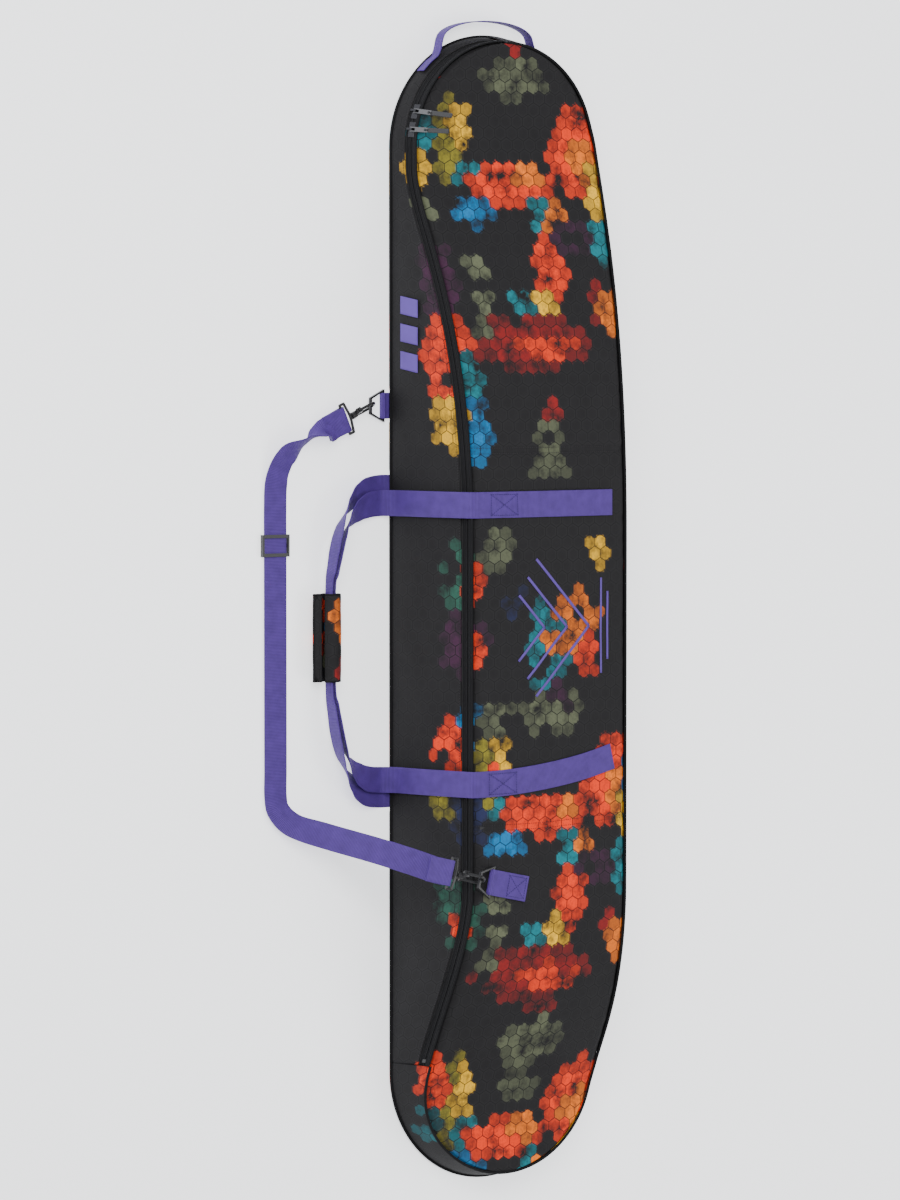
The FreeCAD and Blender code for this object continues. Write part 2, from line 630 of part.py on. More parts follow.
# ---------------------------------------------------------------- grab handle on the nose
GRAB_Z = size("grab_z")
GRAB_WEB = size("grab_webbing")
GRAB_HINGE = -LENGTH / 2 + size("grab_hinge")
GRAB_END = -LENGTH / 2 - size("grab_reach")
grab_ys = [size("grab_from_y"), size("grab_to_y")]


def nose_wall_x(across):
    """Where the nose's wall stands at a distance from the middle, at the grab handle's lower edge."""
    edge = GRAB_Z - GRAB_WEB / 2
    return -END_X - math.sqrt(end_radius(edge) ** 2 - (across - middle(edge)) ** 2)


# the moving part stops short of its hinge, so that its corners clear the sewn ends as it folds
GRAB_START = GRAB_HINGE - size("grab_gap")
loop = curve_points([Vec(GRAB_START, grab_ys[0], GRAB_Z), Vec(GRAB_END - 8, grab_ys[0], GRAB_Z),
                     Vec(GRAB_END - 8, grab_ys[1], GRAB_Z), Vec(GRAB_START, grab_ys[1], GRAB_Z)], 15)
feature("grab_handle", ribbon(loop, [UP] * len(loop), GRAB_WEB, THICK))
ends = []
for across in grab_ys:
    foot = Vec(nose_wall_x(across) - PIPE - 2 * GAP - THICK, across, GRAB_Z)
    ends.append(ribbon([foot, Vec(GRAB_HINGE + 2, across, GRAB_Z)], [UP, UP], GRAB_WEB, THICK))
feature("grab_handle_ends", Part.makeCompound(ends))

# ---------------------------------------------------------------- rings and their webbing tabs
RING_BAR = size("ring_bar")
EYE_IN = RING_BAR * 0.5 * math.sqrt(2) + size("eye_room")
EYE_OUT = EYE_IN + THICK


def ring(label, placement):
    """A moulded ring: a wide bar in its webbing tab and a narrow bar for the hook."""
    low, high = "-sizes.ring_deep + sizes.ring_bar / 2", "sizes.ring_bar / 2"
    corners = [("-sizes.ring_narrow / 2", low), ("sizes.ring_narrow / 2", low),
               ("sizes.ring_wide / 2", high), ("-sizes.ring_wide / 2", high)]
    wide_in = "sizes.ring_wide / 2 - sizes.ring_bar"
    narrow_in = "sizes.ring_narrow / 2 - sizes.ring_bar * 0.5"
    inner_low = low + " + sizes.ring_bar"
    cut = [("-(%s)" % narrow_in, inner_low), (narrow_in, inner_low),
           (wide_in, "-sizes.ring_bar / 2"), ("-(%s)" % wide_in, "-sizes.ring_bar / 2")]
    body = moulded(label, corners, "sizes.ring_thick", [cut])
    body.Placement = placement
    return body


def turned(base, pitch, yaw):
    spin = FreeCAD.Rotation(Vec(0, 0, 1), yaw).multiply(FreeCAD.Rotation(Vec(1, 0, 0), -pitch))
    return FreeCAD.Placement(base, spin)


ring_at, contact = {}, {}
for side in STRAP_X:
    base = Vec(*[size("ring_%s_%s" % (side, axis)) for axis in "xyz"])
    yaw = size("ring_lower_yaw") if side == "lower" else 0.0
    ring_at[side] = turned(base, size("ring_%s_pitch" % side), yaw)
    ring("ring_" + side, ring_at[side])
    contact[side] = ring_at[side].multVec(Vec(0, -size("ring_deep") + RING_BAR, 0))


def webbing_eye(centre, direction, wide):
    """The closed loop that webbing makes round a bar."""
    direction.normalize()
    start = centre - direction * (wide / 2)
    outer = Part.makeCylinder(EYE_OUT, wide, start, direction)
    return outer.cut(Part.makeCylinder(EYE_IN, wide, start, direction))


def anchor_tab(label, side, sewn_to, height):
    """Webbing sewn down flat, with its loop round the ring's wide bar."""
    place = ring_at[side]
    bar = place.Base
    along_bar = place.Rotation.multVec(Vec(1, 0, 0))
    inward = UP.cross(along_bar)
    eye = webbing_eye(bar, Vec(along_bar), WEB)
    level = Vec(0, 0, height + THICK / 2 - bar.z)
    start = bar + level + inward * (THICK / 3)
    flat = ribbon([start, bar + level + inward * sewn_to], [along_bar] * 2, WEB, THICK)
    return feature(label, eye.fuse(flat).removeSplitter())


upper_bar = ring_at["upper"].Base
anchor_tab("anchor_tab_upper", "upper", tab_inner - upper_bar.y, upper_bar.z - EYE_OUT)
lower_bar = ring_at["lower"].Base
anchor_tab("anchor_tab_lower", "lower", TAB_LONG, lower_bar.z - EYE_OUT)

# ---------------------------------------------------------------- swivel hooks
WIRE = size("hook_wire") / 2
INNER = size("hook_inner")
MID = INNER + WIRE
HOOK = size("hook_long")
BARREL = size("barrel_long")
BARREL_R = size("barrel_radius")
STEM_R = size("stem_radius")
STEM_ROOM = size("stem_room")
EYE_U = HOOK + BARREL + size("eye_deep")
PIN_R = size("gate_pin_radius")
GATE_ROOM = size("gate_room")
GATE_W = size("gate_wide")
SEAT = size("hook_seat")
PIVOT_U = HOOK - size("gate_pin_back")
CHEEK = size("fork_cheek")
FORK = size("fork_long")
FORK_DEEP = size("fork_deep")
BASE = size("hook_base")
GATE_T = size("gate_thick") / 2
LONG_PIN = 20          # longer than anything the pin goes through
rod = Vec(1, 0, 0)


def hook_shape():
    """The hook: a bent wire from the barrel round the nose, and a fork for the gate."""
    bend = [Part.LineSegment(Vec(HOOK - 1, -MID, 0), Vec(0, -MID, 0)).toShape(),
            Part.Arc(Vec(0, -MID, 0), Vec(-MID, 0, 0), Vec(0, MID, 0)).toShape()]
    circle = Part.Wire(Part.makeCircle(WIRE, Vec(HOOK - 1, -MID, 0), rod))
    wire = Part.Wire(bend).makePipeShell([circle], True, False)
    half = GATE_W / 2
    fork = block((HOOK - FORK, MID - FORK_DEEP, -half - CHEEK), (HOOK + 1, MID + WIRE, half + CHEEK))
    slot = block((HOOK - FORK - 1, MID - FORK_DEEP - 1, -half - GATE_ROOM),
                 (HOOK - 1, MID + 3 * FORK_DEEP, half + GATE_ROOM))
    base = block((HOOK - BASE, -MID - WIRE, -WIRE - 1), (HOOK + BASE, MID + WIRE, WIRE + 1))
    barrel = Part.makeCylinder(BARREL_R, BARREL, Vec(HOOK, 0, 0), rod)
    solid = wire.fuse([fork.cut(slot), base.cut(slot), barrel]).removeSplitter()
    bore = Part.makeCylinder(STEM_R + STEM_ROOM, 4 * BARREL, Vec(HOOK - BARREL, 0, 0), rod)
    pin = Part.makeCylinder(PIN_R, LONG_PIN, Vec(PIVOT_U, MID, -LONG_PIN / 2), UP)
    return solid.cut(bore).cut(pin)


def gate_shape():
    """The spring gate: a lever from its pin to the hook's tip."""
    lever = block((2 * GATE_ROOM, MID - GATE_T, -GATE_W / 2),
                  (PIVOT_U + 2 * PIN_R, MID + GATE_T, GATE_W / 2))
    long_edges = [edge for edge in lever.Edges if edge.BoundBox.XLength > GATE_W]
    lever = lever.makeFillet(GATE_T / 2, long_edges)
    hole = Part.makeCylinder(PIN_R + GATE_ROOM / 6, LONG_PIN, Vec(PIVOT_U, MID, -LONG_PIN / 2), UP)
    return lever.cut(hole)


def pin_shape():
    """The gate's rivet, flush with the fork."""
    half = GATE_W / 2 + CHEEK
    return Part.makeCylinder(PIN_R, 2 * half, Vec(PIVOT_U, MID, -half), UP)


def strut(start, end, radius):
    way = end - start
    return Part.makeCylinder(radius, way.Length, start, way)


def eye_shape():
    """The swivel eye: a headed stem in the barrel and a flat loop for the webbing."""
    half = size("eye_wide") / 2 + WIRE
    neck = HOOK + BARREL + WIRE + 2 * GAP
    shoulder = EYE_U - EYE_OUT - WIRE - 2 * GAP
    one_side = [Vec(neck, -2 * STEM_R, 0), Vec(shoulder, -half, 0), Vec(EYE_U, -half, 0)]
    corners = one_side + [Vec(spot.x, -spot.y, 0) for spot in reversed(one_side)]
    count = len(corners)
    ends = [Part.makeSphere(WIRE, corner) for corner in corners]
    bars = [strut(corners[i], corners[(i + 1) % count], WIRE) for i in range(count)]
    head_long = size("stem_head_long")
    head_foot = HOOK - BASE - GAP - head_long
    stem = strut(Vec(head_foot + head_long / 2, 0, 0), Vec(neck, 0, 0), STEM_R)
    head = Part.makeCylinder(STEM_R + size("stem_head"), head_long, Vec(head_foot, 0, 0), rod)
    return stem.fuse(bars + ends + [head]).removeSplitter()


def hook_place(side):
    """The hook's own axes: X from the ring to the strap, Y across the jaw."""
    heading = Vec(*[size("hook_%s_%s" % (side, axis)) for axis in "xyz"])
    heading.normalize()
    level = UP.cross(heading)
    level.normalize()
    upright = heading.cross(level)
    spin = FreeCAD.Rotation(heading, upright, level, "XYZ")
    return FreeCAD.Placement(contact[side] + heading * SEAT, spin)


eye_at = {}
for side in STRAP_X:
    level_place = hook_place(side)
    rolled = level_place.multiply(FreeCAD.Placement(Vec(), FreeCAD.Rotation(rod, size("hook_roll"))))
    placed("snap_hook_" + side, hook_shape(), rolled)
    placed("hook_gate_" + side, gate_shape(), rolled)
    placed("gate_pin_" + side, pin_shape(), rolled)
    flat_place = level_place.multiply(FreeCAD.Placement(Vec(), FreeCAD.Rotation(rod, 90)))
    placed("swivel_eye_" + side, eye_shape(), flat_place)
    eye_at[side] = flat_place

# ---------------------------------------------------------------- shoulder strap
RUN_Y, RUN_Z = size("strap_run_y"), size("strap_run_z")
RUN_FROM, RUN_TO = size("strap_run_from"), size("strap_run_to")


def eye_end(side):
    """The bar centre, the way off it and the bar's direction at one of the strap's ends."""
    place = eye_at[side]
    heading = place.Rotation.multVec(Vec(1, 0, 0))
    bar = place.Rotation.multVec(Vec(0, 1, 0))
    return place.multVec(Vec(EYE_U, 0, 0)), heading, bar


top_bar, top_way, top_side = eye_end("upper")
low_bar, low_way, low_side = eye_end("lower")
if top_side.x < 0:
    top_side = top_side * -1
if low_side.x < 0:
    low_side = low_side * -1
twist = Vec(top_bar.x + 16, top_bar.y - 46, WEB / 2 + 2)
upper_route = [
    (top_bar + top_way * (EYE_OUT - 0.6), top_side),
    (top_bar + top_way * 16 + UP * 2, top_side + UP * 0.25),
    (top_bar * 0.45 + twist * 0.55 + UP * 2, Vec(0.6, 0.2, 0.8)),
    (twist, Vec(0, -0.1, 1)),
    (twist + Vec(14, -24, -3), Vec(-0.5, -0.4, 0.8)),
    (Vec(RUN_FROM - 42, RUN_Y + 12, 9), Vec(-0.35, -0.8, 0.3)),
    (Vec(RUN_FROM - 22, RUN_Y + 3, RUN_Z + 1), Vec(-0.12, -1, 0.1)),
]
run_route = [(Vec(RUN_FROM, RUN_Y, RUN_Z), Vec(0, -1, 0)), (Vec(RUN_TO, RUN_Y, RUN_Z), Vec(0, -1, 0))]
lower_route = [
    (Vec(RUN_TO + 22, RUN_Y + 5, RUN_Z + 2), Vec(0.25, -1, 0)),
    (Vec(RUN_TO + 42, RUN_Y + 26, RUN_Z + 11), Vec(0.7, -0.75, 0)),
    (Vec(RUN_TO + 57, RUN_Y + 62, RUN_Z + 40), Vec(0.95, -0.35, 0)),
    (Vec(RUN_TO + 76, RUN_Y + 112, RUN_Z + 96), low_side),
    (low_bar + low_way * 32 + UP * -18, low_side),
    (low_bar + low_way * (EYE_OUT - 0.6), low_side),
]
whole = upper_route + run_route + lower_route
strap = ribbon([spot for spot, _ in whole], [side for _, side in whole], WEB, THICK)
eyes = [webbing_eye(top_bar, Vec(top_side), WEB), webbing_eye(low_bar, Vec(low_side), WEB)]
feature("shoulder_strap", strap.fuse(eyes).removeSplitter())

# ---------------------------------------------------------------- tri-glide
GLIDE_X = size("glide_x")
GLIDE_LONG = size("glide_long")
GLIDE_WIDE = size("glide_wide")
GLIDE_BAR = size("glide_bar")
GLIDE_T = size("glide_thick")
top_low = RUN_Z + THICK / 2 + GAP
bottom_high = RUN_Z - THICK / 2 - GAP
rail = (GLIDE_WIDE - WEB) / 2 - 2 * WEB_GAP
glide = []
for way in (-1, 1):
    glide.append(block((GLIDE_X - GLIDE_LONG / 2, RUN_Y + way * (GLIDE_WIDE / 2 - rail / 2) - rail / 2,
                        bottom_high - GLIDE_T + GAP),
                       (GLIDE_X + GLIDE_LONG / 2, RUN_Y + way * (GLIDE_WIDE / 2 - rail / 2) + rail / 2,
                        top_low + GLIDE_T)))
    centre = GLIDE_X + way * (GLIDE_LONG / 2 - GLIDE_BAR / 2)
    glide.append(block((centre - GLIDE_BAR / 2, RUN_Y - GLIDE_WIDE / 2, top_low),
                       (centre + GLIDE_BAR / 2, RUN_Y + GLIDE_WIDE / 2, top_low + GLIDE_T)))
glide.append(block((GLIDE_X - GLIDE_BAR / 2, RUN_Y - GLIDE_WIDE / 2, bottom_high - GLIDE_T + GAP),
                   (GLIDE_X + GLIDE_BAR / 2, RUN_Y + GLIDE_WIDE / 2, bottom_high)))
feature("tri_glide", glide[0].fuse(glide[1:]).removeSplitter())

# ---------------------------------------------------------------- check and write
doc.recompute()
for obj in doc.Objects:
    if "Invalid" in obj.State or "Error" in obj.State:
        raise ValueError("%s did not build: %s" % (obj.Name, obj.State))
os.makedirs("parts", exist_ok=True)
for part in parts:
    shape = part.Shape
    if shape.isNull() or not shape.isValid() or not shape.Solids:
        raise ValueError(part.Label + " has no sound solid")
    Part.makeCompound(shape.Solids).exportStep("parts/%s.step" % part.Label)
print(len(parts), "sub-parts written")
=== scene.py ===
import bpy, bmesh, math
from mathutils import Vector, Matrix, noise


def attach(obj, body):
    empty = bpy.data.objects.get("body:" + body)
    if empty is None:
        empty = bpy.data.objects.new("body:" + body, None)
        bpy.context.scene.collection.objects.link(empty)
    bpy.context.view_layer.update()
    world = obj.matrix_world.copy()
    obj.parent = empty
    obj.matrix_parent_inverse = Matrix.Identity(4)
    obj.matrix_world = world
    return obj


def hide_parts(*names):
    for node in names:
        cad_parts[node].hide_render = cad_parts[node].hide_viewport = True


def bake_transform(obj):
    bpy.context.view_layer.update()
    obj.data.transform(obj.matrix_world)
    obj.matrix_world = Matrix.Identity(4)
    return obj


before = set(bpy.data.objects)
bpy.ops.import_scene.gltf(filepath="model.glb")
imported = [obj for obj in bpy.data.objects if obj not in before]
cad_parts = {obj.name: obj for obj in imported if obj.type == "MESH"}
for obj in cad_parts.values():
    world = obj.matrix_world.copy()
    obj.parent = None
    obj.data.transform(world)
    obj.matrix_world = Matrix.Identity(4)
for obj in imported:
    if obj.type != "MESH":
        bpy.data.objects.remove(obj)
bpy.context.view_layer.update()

print("frame loaded")

# A snowboard bag lying on its back. Metres, +X nose to tail, -Y is the zipped side, +Z up.

# ---- camera, light and floor -------------------------------------------------
cameraSet = {"tilt": 34.0, "towardsNose": 3.0, "distance": 9.0, "fieldHigh": 1.767,
             "aim": (-0.0145, -0.0575, 0.0)}


def makeCamera():
    data = bpy.data.cameras.new("camera")
    data.lens = 36 * cameraSet["distance"] / cameraSet["fieldHigh"]
    cam = bpy.data.objects.new("camera", data)
    bpy.context.scene.collection.objects.link(cam)
    lean = math.radians(cameraSet["tilt"])
    along = math.radians(cameraSet["towardsNose"])
    back = Vector((-math.sin(along), -math.sin(lean) * math.cos(along), math.cos(lean) * math.cos(along)))
    right = Vector((0, math.cos(lean), math.sin(lean)))
    right = (right - back * right.dot(back)).normalized()
    up = back.cross(right)
    turn = Matrix((right, up, back)).transposed().to_4x4()
    cam.matrix_world = Matrix.Translation(Vector(cameraSet["aim"]) + back * cameraSet["distance"]) @ turn
    bpy.context.scene.camera = cam


def makeLights():
    world = bpy.data.worlds.new("studio")
    bpy.context.scene.world = world
    world.use_nodes = True
    world.node_tree.nodes["Background"].inputs[0].default_value = (0.93, 0.94, 0.96, 1)
    world.node_tree.nodes["Background"].inputs[1].default_value = 0.75
    for name, place, size, power in (("keyLight", (-1.6, -2.2, 3.4), 2.4, 150),
                                     ("fillLight", (1.2, 2.6, 3.0), 2.6, 80)):
        data = bpy.data.lights.new(name, "AREA")
        data.size = size
        data.energy = power
        lamp = bpy.data.objects.new(name, data)
        bpy.context.scene.collection.objects.link(lamp)
        lamp.location = place
        lamp.rotation_mode = "QUATERNION"
        lamp.rotation_quaternion = (Vector(place)).to_track_quat("Z", "Y")


# ---- small helpers -----------------------------------------------------------
def nodeMaker(mat):
    tree = mat.node_tree

    def make(kind, links=None, **settings):
        node = tree.nodes.new(kind)
        for key, value in settings.items():
            setattr(node, key, value)
        for key, value in (links or {}).items():
            if hasattr(value, "is_output"):
                tree.links.new(value, node.inputs[key])
            else:
                node.inputs[key].default_value = value
        return node
    return make


def newMaterial(name, rough, metal=0.0, colour=None):
    mat = bpy.data.materials.new(name)
    mat.use_nodes = True
    shader = mat.node_tree.nodes["Principled BSDF"]
    shader.inputs["Roughness"].default_value = rough
    shader.inputs["Metallic"].default_value = metal
    if colour:
        shader.inputs["Base Color"].default_value = (*colour, 1)
    return mat, shader, nodeMaker(mat)


def finishPiece(bm, name, material, body, smooth=True):
    bmesh.ops.recalc_face_normals(bm, faces=bm.faces)
    mesh = bpy.data.meshes.new(name)
    bm.to_mesh(mesh)
    bm.free()
    if smooth:
        mesh.shade_smooth()
    obj = bpy.data.objects.new(name, mesh)
    bpy.context.scene.collection.objects.link(obj)
    mesh.materials.append(material)
    if body:
        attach(obj, body)
    return obj


def smoothStep(low, high, value):
    share = min(max((value - low) / (high - low), 0.0), 1.0)
    return share * share * (3 - 2 * share)


def thicken(obj, thick, edge=0.0, offset=0.0):
    solid = obj.modifiers.new("thick", "SOLIDIFY")
    solid.thickness = thick
    solid.offset = offset
    if edge:
        soft = obj.modifiers.new("edge", "BEVEL")
        soft.width = edge
        soft.segments = 2
        soft.limit_method = "ANGLE"
        soft.angle_limit = math.radians(50)
    return obj


# ---- the bag's shape ---------------------------------------------------------
bagShape = {"halfLong": 0.842, "half": 0.165, "deep": 0.160, "endDeep": 0.056,
            "zipDraft": 0.28, "plainDraft": 0.12, "noseHigh": -0.110, "tailHigh": 0.400}
bagSides = {-1: {"noseLow": -0.650, "noseEase": (0.080, 0.330), "tailLow": 0.800, "tailEase": (0.150, 0.100)},
            1: {"noseLow": -0.722, "noseEase": (0.060, 0.400), "tailLow": 0.720, "tailEase": (0.060, 0.200)}}
endX = bagShape["halfLong"] - bagShape["half"]


def bezierTable(low, high, ease):
    way = 1 if high > low else -1
    poles = [(low, bagShape["endDeep"]), (low + way * ease[0], bagShape["endDeep"]),
             (high - way * ease[1], bagShape["deep"]), (high, bagShape["deep"])]
    table = []
    for step in range(61):
        t = step / 60
        parts = [(1 - t) ** 3, 3 * t * (1 - t) ** 2, 3 * t * t * (1 - t), t ** 3]
        table.append(tuple(sum(parts[i] * poles[i][axis] for i in range(4)) for axis in (0, 1)))
    return sorted(table)


for side in bagSides:
    made = bagSides[side]
    made["rise"] = bezierTable(made["noseLow"], bagShape["noseHigh"], made["noseEase"])
    made["fall"] = bezierTable(made["tailLow"], bagShape["tailHigh"], made["tailEase"])


def sideHeight(x, side):
    table = bagSides[side]["rise"] if x < 0 else bagSides[side]["fall"]
    if x <= table[0][0]:
        return table[0][1]
    if x >= table[-1][0]:
        return table[-1][1]
    for (x0, z0), (x1, z1) in zip(table, table[1:]):
        if x <= x1:
            return z0 + (z1 - z0) * (x - x0) / max(x1 - x0, 1e-9)


def frontHeight(x, y):
    share = min(max((y + bagShape["half"]) / (2 * bagShape["half"]), 0), 1)
    return sideHeight(x, -1) * (1 - share) + sideHeight(x, 1) * share


def roundHalf(z):
    return bagShape["half"] - (bagShape["zipDraft"] + bagShape["plainDraft"]) / 2 * z


def shiftAt(z):
    return (bagShape["zipDraft"] - bagShape["plainDraft"]) / 2 * z


quarter = bagShape["half"] * math.pi / 2
sideLong = 2 * quarter + 2 * endX


def outlinePoint(along, side, z, out=0.0):
    radius = roundHalf(z) + out
    if along < quarter:
        turn = along / bagShape["half"]
        return Vector((-endX - radius * math.cos(turn), shiftAt(z) + side * radius * math.sin(turn), z))
    if along < quarter + 2 * endX:
        return Vector((-endX + along - quarter, shiftAt(z) + side * radius, z))
    turn = (along - quarter - 2 * endX) / bagShape["half"]
    return Vector((endX + radius * math.sin(turn), shiftAt(z) + side * radius * math.cos(turn), z))


def seamHeight(along, side):
    high = bagShape["endDeep"]
    for _ in range(3):
        spot = outlinePoint(along, side, high)
        high = frontHeight(spot.x, spot.y)
    return high


# ---- the printed honeycomb ---------------------------------------------------
printSet = {"pitch": 0.0197, "repeat": (0.0, 0.919, 1.406)}
inks = {"redOrange": (0.97, 0.045, 0.002), "orange": (0.97, 0.20, 0.004), "yellow": (0.95, 0.52, 0.014),
        "olive": (0.27, 0.23, 0.02), "teal": (0.004, 0.20, 0.24), "blue": (0.004, 0.19, 0.46),
        "greyGreen": (0.125, 0.140, 0.080), "darkRed": (0.28, 0.012, 0.012), "plum": (0.055, 0.015, 0.045),
        "navy": (0.016, 0.022, 0.075), "green": (0.025, 0.11, 0.075)}
# each patch: middle along and across the cloth, half sizes along and across, ink, strength, share of cells
topPatches = [
    (-0.775, 0.012, 0.022, 0.045, "greyGreen", 0.8, 0.75), (-0.800, 0.030, 0.010, 0.012, "greyGreen", 0.9, 1),
    (-0.826, 0.020, 0.010, 0.012, "darkRed", 0.9, 1),
    (-0.690, -0.096, 0.060, 0.018, "olive", 0.85, 0.85), (-0.705, -0.080, 0.030, 0.012, "yellow", 0.9, 0.8),
    (-0.640, -0.066, 0.014, 0.020, "teal", 0.9, 1), (-0.626, 0.000, 0.022, 0.062, "redOrange", 1, 0.9),
    (-0.640, 0.030, 0.014, 0.020, "orange", 1, 0.8),
    (-0.585, -0.072, 0.014, 0.028, "blue", 0.9, 0.9), (-0.570, 0.042, 0.026, 0.012, "teal", 0.95, 0.9),
    (-0.575, 0.070, 0.014, 0.016, "orange", 1, 0.9), (-0.505, 0.044, 0.036, 0.022, "redOrange", 0.95, 0.9),
    (-0.445, 0.015, 0.022, 0.018, "yellow", 1, 0.9), (-0.452, -0.018, 0.012, 0.014, "teal", 0.95, 1),
    (-0.395, -0.010, 0.032, 0.082, "darkRed", 0.85, 0.85), (-0.385, 0.020, 0.014, 0.045, "redOrange", 0.8, 0.7),
    (-0.672, 0.130, 0.055, 0.048, "redOrange", 1, 0.92), (-0.660, 0.128, 0.022, 0.020, "orange", 1, 0.8),
    (-0.610, 0.150, 0.034, 0.014, "yellow", 0.95, 0.9), (-0.545, 0.135, 0.026, 0.018, "teal", 0.9, 0.85),
    (-0.455, 0.118, 0.022, 0.012, "darkRed", 0.8, 0.9), (-0.435, 0.140, 0.026, 0.018, "orange", 0.8, 0.85),
    (-0.545, 0.090, 0.016, 0.034, "plum", 0.7, 0.8), (-0.500, -0.082, 0.012, 0.014, "greyGreen", 0.9, 1),
    (-0.455, -0.080, 0.010, 0.010, "greyGreen", 0.9, 1), (-0.410, -0.082, 0.010, 0.010, "greyGreen", 0.8, 1),
    (-0.300, 0.020, 0.010, 0.012, "darkRed", 0.9, 1), (-0.252, 0.010, 0.026, 0.014, "greyGreen", 0.7, 0.8),
    (-0.216, 0.014, 0.014, 0.030, "greyGreen", 0.6, 0.8)]
# between the two straps, not repeated
middlePatches = [
    (0.030, 0.018, 0.026, 0.012, "orange", 0.95, 0.9), (0.050, 0.006, 0.060, 0.026, "teal", 0.75, 0.6),
    (0.020, 0.060, 0.044, 0.034, "orange", 0.75, 0.7), (0.060, 0.078, 0.024, 0.018, "redOrange", 0.7, 0.8),
    (-0.090, 0.092, 0.014, 0.014, "yellow", 0.9, 1), (-0.095, -0.084, 0.026, 0.018, "greyGreen", 0.7, 0.8),
    (0.150, -0.084, 0.022, 0.018, "greyGreen", 0.7, 0.8), (0.222, -0.088, 0.010, 0.010, "redOrange", 0.9, 1),
    (0.110, 0.030, 0.020, 0.020, "plum", 0.7, 0.7), (-0.020, -0.060, 0.018, 0.020, "navy", 0.7, 0.7)]
# down the zipped wall; the plain wall has the same, turned round
wallPatches = [
    (-0.790, -0.130, 0.012, 0.016, "darkRed", 0.9, 1), (-0.690, -0.150, 0.022, 0.016, "teal", 0.85, 0.9),
    (-0.640, -0.156, 0.022, 0.018, "yellow", 0.8, 0.9), (-0.590, -0.150, 0.014, 0.012, "greyGreen", 0.8, 1),
    (-0.480, -0.150, 0.055, 0.024, "plum", 0.9, 0.9), (-0.365, -0.150, 0.060, 0.036, "redOrange", 0.9, 0.88),
    (-0.345, -0.120, 0.026, 0.016, "teal", 0.85, 0.85), (-0.265, -0.115, 0.040, 0.018, "blue", 0.9, 0.85),
    (-0.280, -0.160, 0.032, 0.026, "yellow", 0.75, 0.85), (-0.055, -0.150, 0.040, 0.024, "green", 0.9, 0.85),
    (-0.045, -0.126, 0.020, 0.014, "redOrange", 0.85, 0.8), (0.040, -0.140, 0.042, 0.034, "plum", 0.9, 0.85),
    (0.055, -0.118, 0.022, 0.012, "redOrange", 0.8, 0.7), (0.170, -0.135, 0.032, 0.018, "blue", 0.85, 0.85),
    (0.190, -0.165, 0.030, 0.024, "redOrange", 0.9, 0.85), (0.265, -0.160, 0.024, 0.030, "olive", 0.9, 0.9),
    (0.290, -0.130, 0.040, 0.022, "navy", 0.95, 0.85), (0.415, -0.170, 0.024, 0.014, "green", 0.9, 0.9),
    (0.440, -0.136, 0.042, 0.024, "green", 0.85, 0.85), (0.450, -0.142, 0.012, 0.010, "redOrange", 0.9, 1),
    (0.700, -0.140, 0.042, 0.026, "redOrange", 0.85, 0.85), (0.760, -0.150, 0.030, 0.030, "teal", 0.5, 0.7)]


def scatter(first, second, seed):
    return noise.cell(Vector((first * 1.37 + seed * 7.1, second * 2.11 - seed * 3.3, seed + 0.5)))


def cellPatches():
    made = []
    for shift in printSet["repeat"]:
        for patch in topPatches:
            if shift == 0.0 or patch[0] + shift < 0.86:
                made.append((patch[0] + shift, *patch[1:]))
    plainWall = [(-along * 0.95, 0.055 - across, *rest) for along, across, *rest in wallPatches]
    return made + middlePatches + wallPatches + plainWall


allPatches = cellPatches()
cellInks = {}


def cellColour(along, across):
    pitch = printSet["pitch"]
    rowHigh = pitch * math.sqrt(3) / 2
    row = round(along / rowHigh)
    best = None
    for tryRow in (row - 1, row, row + 1):
        offset = 0.5 * (tryRow % 2)
        column = round(across / pitch - offset)
        spot = (tryRow * rowHigh, (column + offset) * pitch)
        gap = (spot[0] - along) ** 2 + (spot[1] - across) ** 2
        if best is None or gap < best[0]:
            best = (gap, tryRow, column, spot)
    _, row, column, spot = best
    if (row, column) in cellInks:
        return cellInks[(row, column)]
    colour, strength = (0.03, 0.03, 0.035), 0.0
    for number, (midX, midY, halfX, halfY, ink, power, share) in enumerate(allPatches):
        reach = math.hypot((spot[0] - midX) / (halfX + 0.006), (spot[1] - midY) / (halfY + 0.006))
        chance = abs(scatter(row, column, number)) if share < 1 else 0.0
        if reach < 1.15 and chance * 0.9 < share:
            colour = inks[ink]
            tint = 0.86 + 0.16 * abs(scatter(row, column, number + 40))
            colour = tuple(part * tint for part in colour)
            strength = power * (1.0 if reach < 0.85 else 0.6)
    cellInks[(row, column)] = (*colour, strength)
    return cellInks[(row, column)]


def paintCells(obj, layerName="flatMap"):
    mesh = obj.data
    layer = mesh.uv_layers[layerName]
    spots = {}
    for loop in mesh.loops:
        spots[loop.vertex_index] = layer.data[loop.index].uv
    attribute = mesh.color_attributes.new("printInk", "FLOAT_COLOR", "POINT")
    for index in range(len(mesh.vertices)):
        spot = spots.get(index)
        attribute.data[index].color = cellColour(spot[0], spot[1]) if spot else (0, 0, 0, 0)


